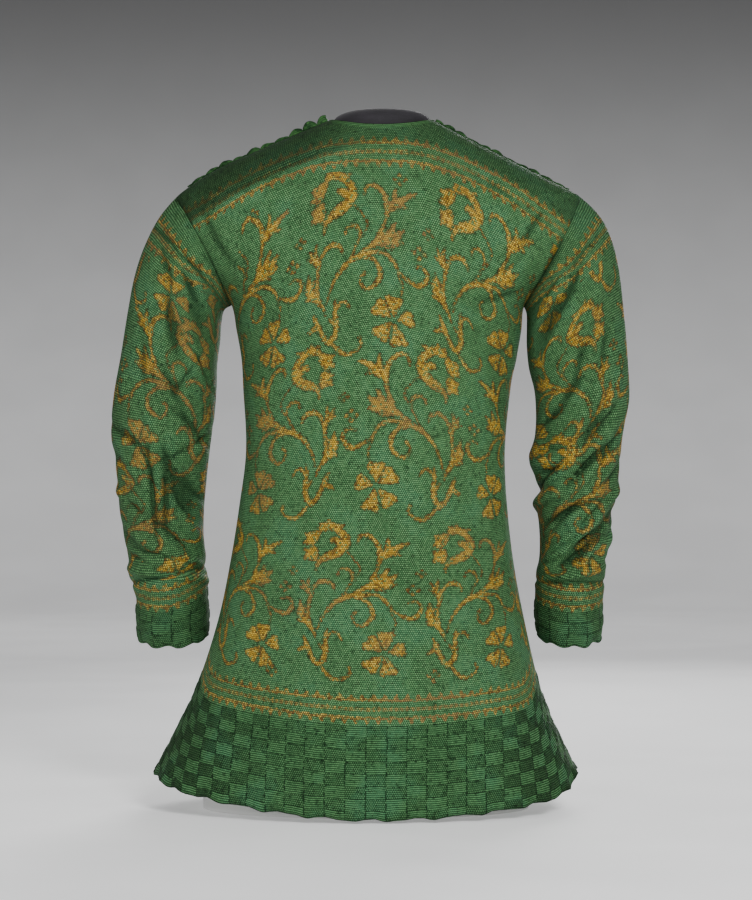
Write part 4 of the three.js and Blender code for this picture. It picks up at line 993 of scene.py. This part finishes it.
# The knit's colours, then its fades: each gives where a value starts and ends, and the share of
# the colour or shade at either place.
knit = {
    "green": srgb(72, 120, 73), "teal": srgb(64, 119, 86), "greenHighlight": srgb(136, 184, 124),
    "greenDark": srgb(10, 34, 14), "gold": srgb(204, 162, 48), "goldEdge": srgb(142, 120, 60),
    "goldWorn": srgb(140, 116, 74), "dimmed": srgb(120, 124, 118), "goldHighlight": srgb(240, 206, 96),
    "goldDark": srgb(86, 52, 26), "outline": srgb(54, 44, 22), "rim": srgb(100, 156, 92),
    "roughness": (0.0, 1.0, 0.72, 0.9), "specular": 0.12, "bump": 0.8, "stitchDepth": 0.0008,
    "wander": 1.6, "wanderSize": 60.0, "squareWander": 1.5, "ragged": 1.7, "jitter": 1.6,
    "scrollFrom": 25.0, "scrollTo": -9.0, "outlineAt": 0.1, "outlineShare": 0.46, "rimShare": 0.45,
    "wideNoise": (22.0, 3.0, 0.6), "fineNoise": (240.0, 2.0, 0.7), "wornNoise": (9.0, 2.0, 0.5),
    "belowShade": 0.2, "gapShade": 0.95, "darkest": 0.94, "peak": (0.35, 1.0),
    "gap": (0.04, 0.72, 1.0, 0.0), "coreUnevenness": 3.0, "yokeShadeAbove": (-6.0, 0.5),
    "yokeShadeEnd": (-70.0, 10.0, 13.5, 1.0), "yokeShadeLeft": (-90.0, -10.0, 1.0, 0.62),
    "yokeShadeGold": (0.2, 0.8, 1.0, 0.6), "goldInside": (0.2, -0.7), "outlineFade": (1.1, 0.2),
    "missedStitches": (0.78, 0.94, 1.0, 0.2), "tealPatches": (0.45, 0.65, 0.0, 0.55),
    "greenDepth": (0.36, 0.6, 0.45, 0.0), "litStitches": (0.0, 1.0, 0.1, 0.48),
    "litBelow": (0.0, 1.0, 1.0, 0.55), "goldCore": (1.4, -2.2), "goldDepth": (0.38, 0.56, 0.5, 0.0),
    "goldLit": (0.3, 1.0, 0.0, 0.9), "darkStitches": (0.0, 0.35, 0.8, 0.0),
    "wornPatches": (0.5, 0.66, 0.0, 0.6), "squareEdge": (0.2, 0.9, 0.75, 0.1),
    "paintedShade": (0.3, 4.0, 0.0, 0.6), "specks": (0.42, 0.3, 0.0, 0.45),
    "squareSideShade": (70.0, 185.0, 0.05, 0.6), "lowestEdge": (106.0, 109.0, 0.0, 0.4),
}


def layered(tint, *layers):
    for share, key in layers:
        tint = blend(share, tint, knit[key])
    return tint


# the bands and squares are placed by millimetres down the cloth from each band's first line
def knitMaterial(name, squares, yokeShade, sleeveShade):
    material, tree, shader = newMaterial(name)
    across, down = stitchPlace(tree)
    spot = objectSpot(tree)[0]
    scroll, topBand, lowBand, rim, paintedShade = [
        addNode(tree, "Attribute", {}, attribute_name=label)[2]
        for label in ("scroll", "topBand", "lowBand", "rim", "paintedShade")]
    below = calc("GREATER_THAN", lowBand, squares)

    wander = (noise(spot, knit["wanderSize"]) - 0.5) * knit["wander"]
    square = useGroup(basketNodes, Across=across + wander * knit["squareWander"],
                      Down=lowBand + wander - squares)
    isPurl = below * square["Purl"]
    stitches = useGroup(stitchNodes, Column=(across + wander) / stitch["wide"],
                        Row=(down + wander) / stitch["tall"], Purl=calc("MAXIMUM", isPurl, rim))
    grain, grain2, height = stitches["Grain"], stitches["Grain2"], stitches["Height"]
    uneven = grain - 0.5

    # painted shade on the yoke above the top band, where the shoulders slope away from the light; it is
    # strongest to the left
    yoke = fade(topBand - fade(across, *knit["yokeShadeEnd"]), *knit["yokeShadeAbove"], yokeShade, 0.0)
    yoke = yoke * fade(across, *knit["yokeShadeLeft"])

    edge = scroll + uneven * knit["ragged"]
    field = calc("GREATER_THAN", topBand, knit["scrollFrom"]) * calc("LESS_THAN", lowBand, knit["scrollTo"])
    mask = fade(edge, *knit["goldInside"]) * field
    outline = fade(abs(edge - knit["outlineAt"]), *knit["outlineFade"]) * field
    for band in (topBand, lowBand):
        lines = useGroup(bandNodes, Across=across, Down=band + uneven * knit["jitter"])
        mask = calc("MAXIMUM", mask, lines["Mask"])
    # missed gold stitches, and the gold muted under the yoke's painted shade
    mask = mask * fade(grain2, *knit["missedStitches"]) * fade(yoke, *knit["yokeShadeGold"])

    wide, fine = noise(spot, *knit["wideNoise"]), noise(spot, *knit["fineNoise"])
    tone = wide * 0.5 + fine * 0.5
    # painted highlight on each stitch's top, and painted shade in the gaps between stitches
    peak, gap = fade(height, *knit["peak"]), fade(height, *knit["gap"])
    lit = peak * fade(grain, *knit["litStitches"]) * fade(below, *knit["litBelow"])
    green = layered(knit["green"], (fade(wide, *knit["tealPatches"]), "teal"),
                    (fade(tone, *knit["greenDepth"]), "greenDark"), (lit, "greenHighlight"))
    core = scroll + tone * knit["coreUnevenness"]
    gold = layered(knit["goldEdge"], (fade(core, *knit["goldCore"]), "gold"),
                   (fade(tone, *knit["goldDepth"]), "goldDark"),
                   (peak * fade(grain2, *knit["goldLit"]), "goldHighlight"),
                   (fade(grain, *knit["darkStitches"]), "goldDark"),
                   (fade(noise(spot, *knit["wornNoise"]), *knit["wornPatches"]), "goldWorn"))
    cloth = layered(blend(mask, green, gold), (outline * knit["outlineShare"], "outline"),
                    (rim * knit["rimShare"], "rim"))

    # Painted shade in the grooves between the basket squares, in the fold troughs, along the underarm seams
    # and in the stitch gaps, with a darker tone over the squares and random dark specks
    shade = below * (square["Edge"] * fade(grain, *knit["squareEdge"])) + below * knit["belowShade"]
    for other in (fade(paintedShade, *knit["paintedShade"]), fade(fine, *knit["specks"]), gap * knit["gapShade"]):
        shade = shade + other
    cloth = layered(cloth, (calc("MINIMUM", shade, knit["darkest"]), "greenDark"))
    # painted shade on the knit squares, growing toward the sides as under grazing light
    sideSquareShade = (below - isPurl) * fade(abs(across), *knit["squareSideShade"])
    # the sleeves' darker copy, the yoke and the side squares are painted shade; the lowest hem edge is
    # darker too
    for dim in (sleeveShade, yoke, fade(lowBand, *knit["lowestEdge"]), sideSquareShade):
        cloth = blend(dim, cloth, knit["dimmed"], "MULTIPLY")
    feed(shader["Base Color"], cloth)
    feed(shader["Roughness"], fade(grain, *knit["roughness"]))
    feed(shader["Specular IOR Level"], knit["specular"])
    emboss(shader, height, knit["bump"], knit["stitchDepth"])
    return material


# the sleeves' knit is the body's, multiplied darker as painted shade
knits = {"body": knitMaterial("bodyKnit", bands["hemSquares"], 0.78, 0.0),
         "sleeve": knitMaterial("sleeveKnit", bands["cuffSquares"], 0.1, 0.16)}
for pieceName, piece in pieces.items():
    piece.data.materials.append(knits["sleeve" if pieceName.startswith("sleeve") else "body"])
    standFor(piece, pieceName)
print("knit materials done")

# the wavy selvedges that stand on the shoulder seams
frills = {
    "left": {"neckHeight": 7.4, "armHeight": 2.2, "sway": 2.6, "waves": 10, "seed": 7},
    "right": {"neckHeight": 4.6, "armHeight": 1.8, "sway": 1.7, "waves": 11, "seed": 11},
    "thickness": 1.4, "stepsPerWave": 14, "levels": 5, "neckEnd": 1, "armEnd": 12, "lift": 0.2,
    "unevenness": (0.4, 1.45), "fall": 0.45, "shift": 0.9, "bluntness": 0.8, "lowest": 0.12,
    "footSway": 0.3, "swayBend": 1.3, "seamStitches": 60, "levelRows": 0.6,
    # the selvedge's greens are painted darker than the body's knit, a painted shade
    "colour": srgb(26, 54, 28), "dark": srgb(8, 24, 12),
    "light": srgb(58, 100, 52), "gap": (0.0, 0.6, 0.6, 0.0), "roughness": (0.0, 1.0, 0.66, 0.84),
    "bump": 0.7, "depth": 0.0004,
}


def frillMaterial():
    material, tree, shader = newMaterial("selvedgeKnit")
    column, row = stitchPlace(tree)
    stitches = useGroup(stitchNodes, Column=column, Row=row, Purl=1.0)
    tint = blend(stitches["Grain"], frills["colour"], frills["light"])
    # painted shade in the gaps between stitches
    tint = blend(fade(stitches["Height"], *frills["gap"]), tint, frills["dark"])
    feed(shader["Base Color"], tint)
    feed(shader["Roughness"], fade(stitches["Grain2"], *frills["roughness"]))
    feed(shader["Specular IOR Level"], knit["specular"])
    emboss(shader, stitches["Height"], frills["bump"], frills["depth"])
    return material


def makeFrill(side, material):
    own = frills[side]
    waves = own["waves"]
    stations = waves * frills["stepsPerWave"]
    share = np.linspace(0, 1, stations + 1)
    sizes = np.random.default_rng(own["seed"]).uniform(*frills["unevenness"], waves + 1)
    uneven = np.interp(share * waves, np.arange(waves + 1), sizes)
    x = mix(neck["halfWidth"] + frills["neckEnd"], shoulder["halfWidth"] - frills["armEnd"], share)
    z = shoulderLineZ(side, x)
    up = shoulderNormal(side, x)
    foot = np.stack([section("centreX", z) + sideSign[side] * x, 0 * z, z], axis=-1)
    foot += up * (wallHalf + frills["lift"])
    wave = np.pi * waves * share
    bump = mix(frills["lowest"], 1, np.abs(np.sin(wave + frills["shift"])) ** frills["bluntness"])
    tall = mix(own["neckHeight"], own["armHeight"], share ** frills["fall"]) * bump * uneven
    lean = own["sway"] * np.sin(wave) * uneven
    level = np.linspace(0, 1, frills["levels"] + 1)[:, None]
    points = foot[None] + up[None] * (tall[None] * level)[..., None]
    points[..., 1] += lean * mix(frills["footSway"], 1, level ** frills["swayBend"])
    bm = bmesh.new()
    bendGrid(bm, points)
    layer = bm.loops.layers.uv.new("stitches")
    for bmFace in bm.faces:
        bmFace.smooth = True
        for corner in bmFace.loops:
            row, column = divmod(corner.vert.index, stations + 1)
            corner[layer].uv = (share[column] * frills["seamStitches"], row * frills["levelRows"])
    piece = addObject("shoulderFrill_" + side, finishMesh(bm, "shoulderFrill_" + side))
    piece.data.materials.append(material)
    wall = piece.modifiers.new("wall", "SOLIDIFY")
    wall.thickness = frills["thickness"] * mm
    wall.offset = 0
    standFor(piece, "shoulder_frill_" + side)
    return piece


frillKnit = frillMaterial()
selvedges = [makeFrill(frillSide, frillKnit) for frillSide in ("left", "right")]
print("selvedges done")

# the dress form: a torso below its top section, shoulders that follow the seams, and a capped neck
form = {
    "z": [0, 60, 120, 180, 240, 300, 344, 404, 457, 490, 520, 550, 575, 590],
    "halfWidth": [156, 155, 148, 137, 126, 119, 116, 119, 126, 133, 145, 154, 156, 153],
    "back": [112, 113, 110, 104, 94, 85, 80, 83, 88, 90, 90, 86, 79, 73],
    "front": [108, 107, 104, 100, 93, 87, 84, 87, 92, 94, 91, 86, 78, 71],
    "drop": 2.1, "leanness": 1.1, "lean": (560, 610), "neckHalfWidth": 46.5, "neckHalfDepth": 45,
    "collar": 1.06, "collarZ": 648, "capZ": 654, "topZ": 668.4, "capSquareness": 2.8,
    "lowInset": 15, "highInset": 7, "insetTo": 645, "rounding": 0.35, "columns": 96, "capRings": 14,
    "colour": srgb(40, 36, 42), "dark": srgb(22, 20, 24), "light": srgb(64, 60, 68),
    "foot": srgb(236, 236, 234), "footFade": (0.045, 0.04), "weave": (1400.0, 2.0, 0.7),
    "cloud": (30.0, 3.0, 0.5), "roughness": (0.2, 0.8, 0.78, 0.95), "bump": 0.4, "depth": 0.0003,
    "sheen": 0.05, "rings": ((4, 590, 60), (596, 647, 20)), "collarTop": 650,
}


def formRing(z):
    turn = 2 * np.pi * np.arange(form["columns"] + 1) / form["columns"]
    top = form["z"][-1]
    half, back, front = (curveThrough(form["z"], form[key], min(z, top))
                         for key in ("halfWidth", "back", "front"))
    left = right = half
    if z > form["collarZ"]:
        size = form["collar"]
        if z > form["capZ"] - 0.01:
            rise = min(1, (z - form["capZ"]) / (form["topZ"] - form["capZ"]))
            size = max(0.001, 1 - rise ** form["capSquareness"]) ** (1 / form["capSquareness"])
        left = right = form["neckHalfWidth"] * size
        back = front = form["neckHalfDepth"] * size
    elif z > top:
        inset = mix(form["lowInset"], form["highInset"], ease(top, form["insetTo"], z))
        line = np.array(z + form["drop"])
        left, right = (min(half - form["rounding"] * (z - top), float(shoulderLineX(side, line)))
                       for side in ("left", "right"))
        back, front = section("back", z) - inset, section("front", z) - inset
    wide, deep = np.cos(turn), np.sin(turn)
    fullness = mix(sectionFullness, form["leanness"], ease(*form["lean"], z))
    x = section("centreX", z) + wide * np.where(wide < 0, left, right)
    y = np.sign(deep) * np.where(deep < 0, back, front) * np.abs(deep) ** fullness
    return np.stack([x, y, np.full(turn.shape, float(z))], axis=-1)


def formMaterial():
    material, tree, shader = newMaterial("formJersey")
    spot, height = objectSpot(tree)
    weave = noise(spot, *form["weave"])
    tint = blend(fade(noise(spot, *form["cloud"]), 0.35, 0.7), form["dark"], form["colour"])
    tint = blend(fade(weave, 0.5, 0.8, 0.0, 0.6), tint, form["light"])
    tint = blend(fade(height, *form["footFade"]), tint, form["foot"])
    feed(shader["Base Color"], tint)
    feed(shader["Roughness"], fade(weave, *form["roughness"]))
    feed(shader["Sheen Weight"], form["sheen"])
    emboss(shader, weave, form["bump"], form["depth"])
    return material


def makeForm():
    body, top = (np.linspace(*rings) for rings in form["rings"])
    cap = np.sin(np.linspace(0, np.pi / 2, form["capRings"]))[:-1]
    capHeights = cap * (form["topZ"] - form["capZ"]) + form["capZ"]
    heights = [0, *body, *top, form["collarTop"], *capHeights]
    bm = bmesh.new()
    bendGrid(bm, np.array([formRing(z) for z in heights]))
    bmesh.ops.remove_doubles(bm, verts=bm.verts, dist=doublesWithin)
    bmesh.ops.holes_fill(bm, edges=bm.edges, sides=0)
    bmesh.ops.recalc_face_normals(bm, faces=bm.faces)
    for bmFace in bm.faces:
        bmFace.smooth = len(bmFace.verts) == 4
    piece = addObject("formCover", finishMesh(bm, "formCover"))
    piece.data.materials.append(formMaterial())
    standFor(piece, "dress_form")
    return piece


formCover = makeForm()
print("dress form done")

# the studio, in metres and watts
studio = {
    "paper": srgb(244, 244, 244), "paperHigh": srgb(92, 92, 92), "fade": (-0.2, 1.75), "paperGlow": 0.36,
    "mottle": (0.3, 0.7, 0.0, 0.06), "nearEnd": -7, "sweepFoot": 3.7, "sweepRadius": 2.0,
    "sweepRise": 3, "sweepHalfWidth": 9, "worldColour": srgb(200, 201, 204), "worldStrength": 0.36,
    "camera": (0.00576, -3.2, 0.342), "frameHeight": 0.864, "sensor": 36,
}
# place, aim, size, power and spread of each light
lights = {
    "keyLight": ((0.9, -3.2, 1.7), (0, 0, 0.35), 0.9, 122, 180),
    "fillLight": ((-1.8, -2.6, 0.9), (0, 0, 0.3), 1.6, 24, 180),
    "farLight": ((-0.4, 3.2, 1.8), (0, 0, 0.35), 2.4, 11, 180),
    "backLight": ((0.5, 2.6, 1.0), (0, 0, 0.4), 1.2, 15, 70),
}


# one sheet of paper: the floor, which curves up far behind into the backdrop
def makeSweep():
    bm = bmesh.new()
    bmesh.ops.create_grid(bm, x_segments=4, y_segments=120, size=1)
    foot, radius = studio["sweepFoot"], studio["sweepRadius"]
    bend = radius * np.pi / 2
    for vertex in bm.verts:
        along = mix(studio["nearEnd"], foot + bend + studio["sweepRise"], (vertex.co.y + 1) / 2)
        turn = np.clip((along - foot) / radius, 0, np.pi / 2)
        y = min(along, foot) + radius * np.sin(turn)
        z = radius * (1 - np.cos(turn)) + max(0, along - foot - bend)
        vertex.co = (vertex.co.x * studio["sweepHalfWidth"], y, z)
    for bmFace in bm.faces:
        bmFace.smooth = True
    sweep = addObject("studioSweep", finishMesh(bm, "studioSweep"))
    material, tree, shader = newMaterial("studioPaper")
    spot, height = objectSpot(tree)
    # painted shade: the paper darkens toward the top; its random mottle uses the same grey
    tint = blend(fade(height, *studio["fade"]), studio["paper"], studio["paperHigh"])
    tint = blend(fade(noise(spot, 5.0), *studio["mottle"]), tint, studio["paperHigh"])
    # the paper glows a little, painted light
    for key, value in (("Base Color", tint), ("Emission Color", tint), ("Roughness", 0.95),
                       ("Emission Strength", studio["paperGlow"]), ("Specular IOR Level", 0.1)):
        feed(shader[key], value)
    sweep.data.materials.append(material)


def addLight(name, spot, aim, size, power, spread):
    light = bpy.data.lights.new(name, "AREA")
    light.size = size
    light.energy = power
    light.spread = np.radians(spread)
    lamp = addObject(name, light)
    lamp.location = spot
    lamp.rotation_euler = (Vector(aim) - Vector(spot)).to_track_quat("-Z", "Y").to_euler()
    lamp.visible_camera = False


makeSweep()
for lightName, settings in lights.items():
    addLight(lightName, *settings)
world = bpy.data.worlds.new("studioWorld")
world.use_nodes = True
world.node_tree.nodes["Background"].inputs[0].default_value = studio["worldColour"]
world.node_tree.nodes["Background"].inputs[1].default_value = studio["worldStrength"]
bpy.context.scene.world = world

camera = bpy.data.cameras.new("camera")
camera.sensor_width = studio["sensor"]
camera.lens = studio["sensor"] * -studio["camera"][1] / studio["frameHeight"]
camera.clip_end = 50
view = addObject("camera", camera)
view.location = studio["camera"]
view.rotation_euler = (np.pi / 2, 0, 0)
bpy.context.scene.camera = view
print("studio done")

print("scene done")
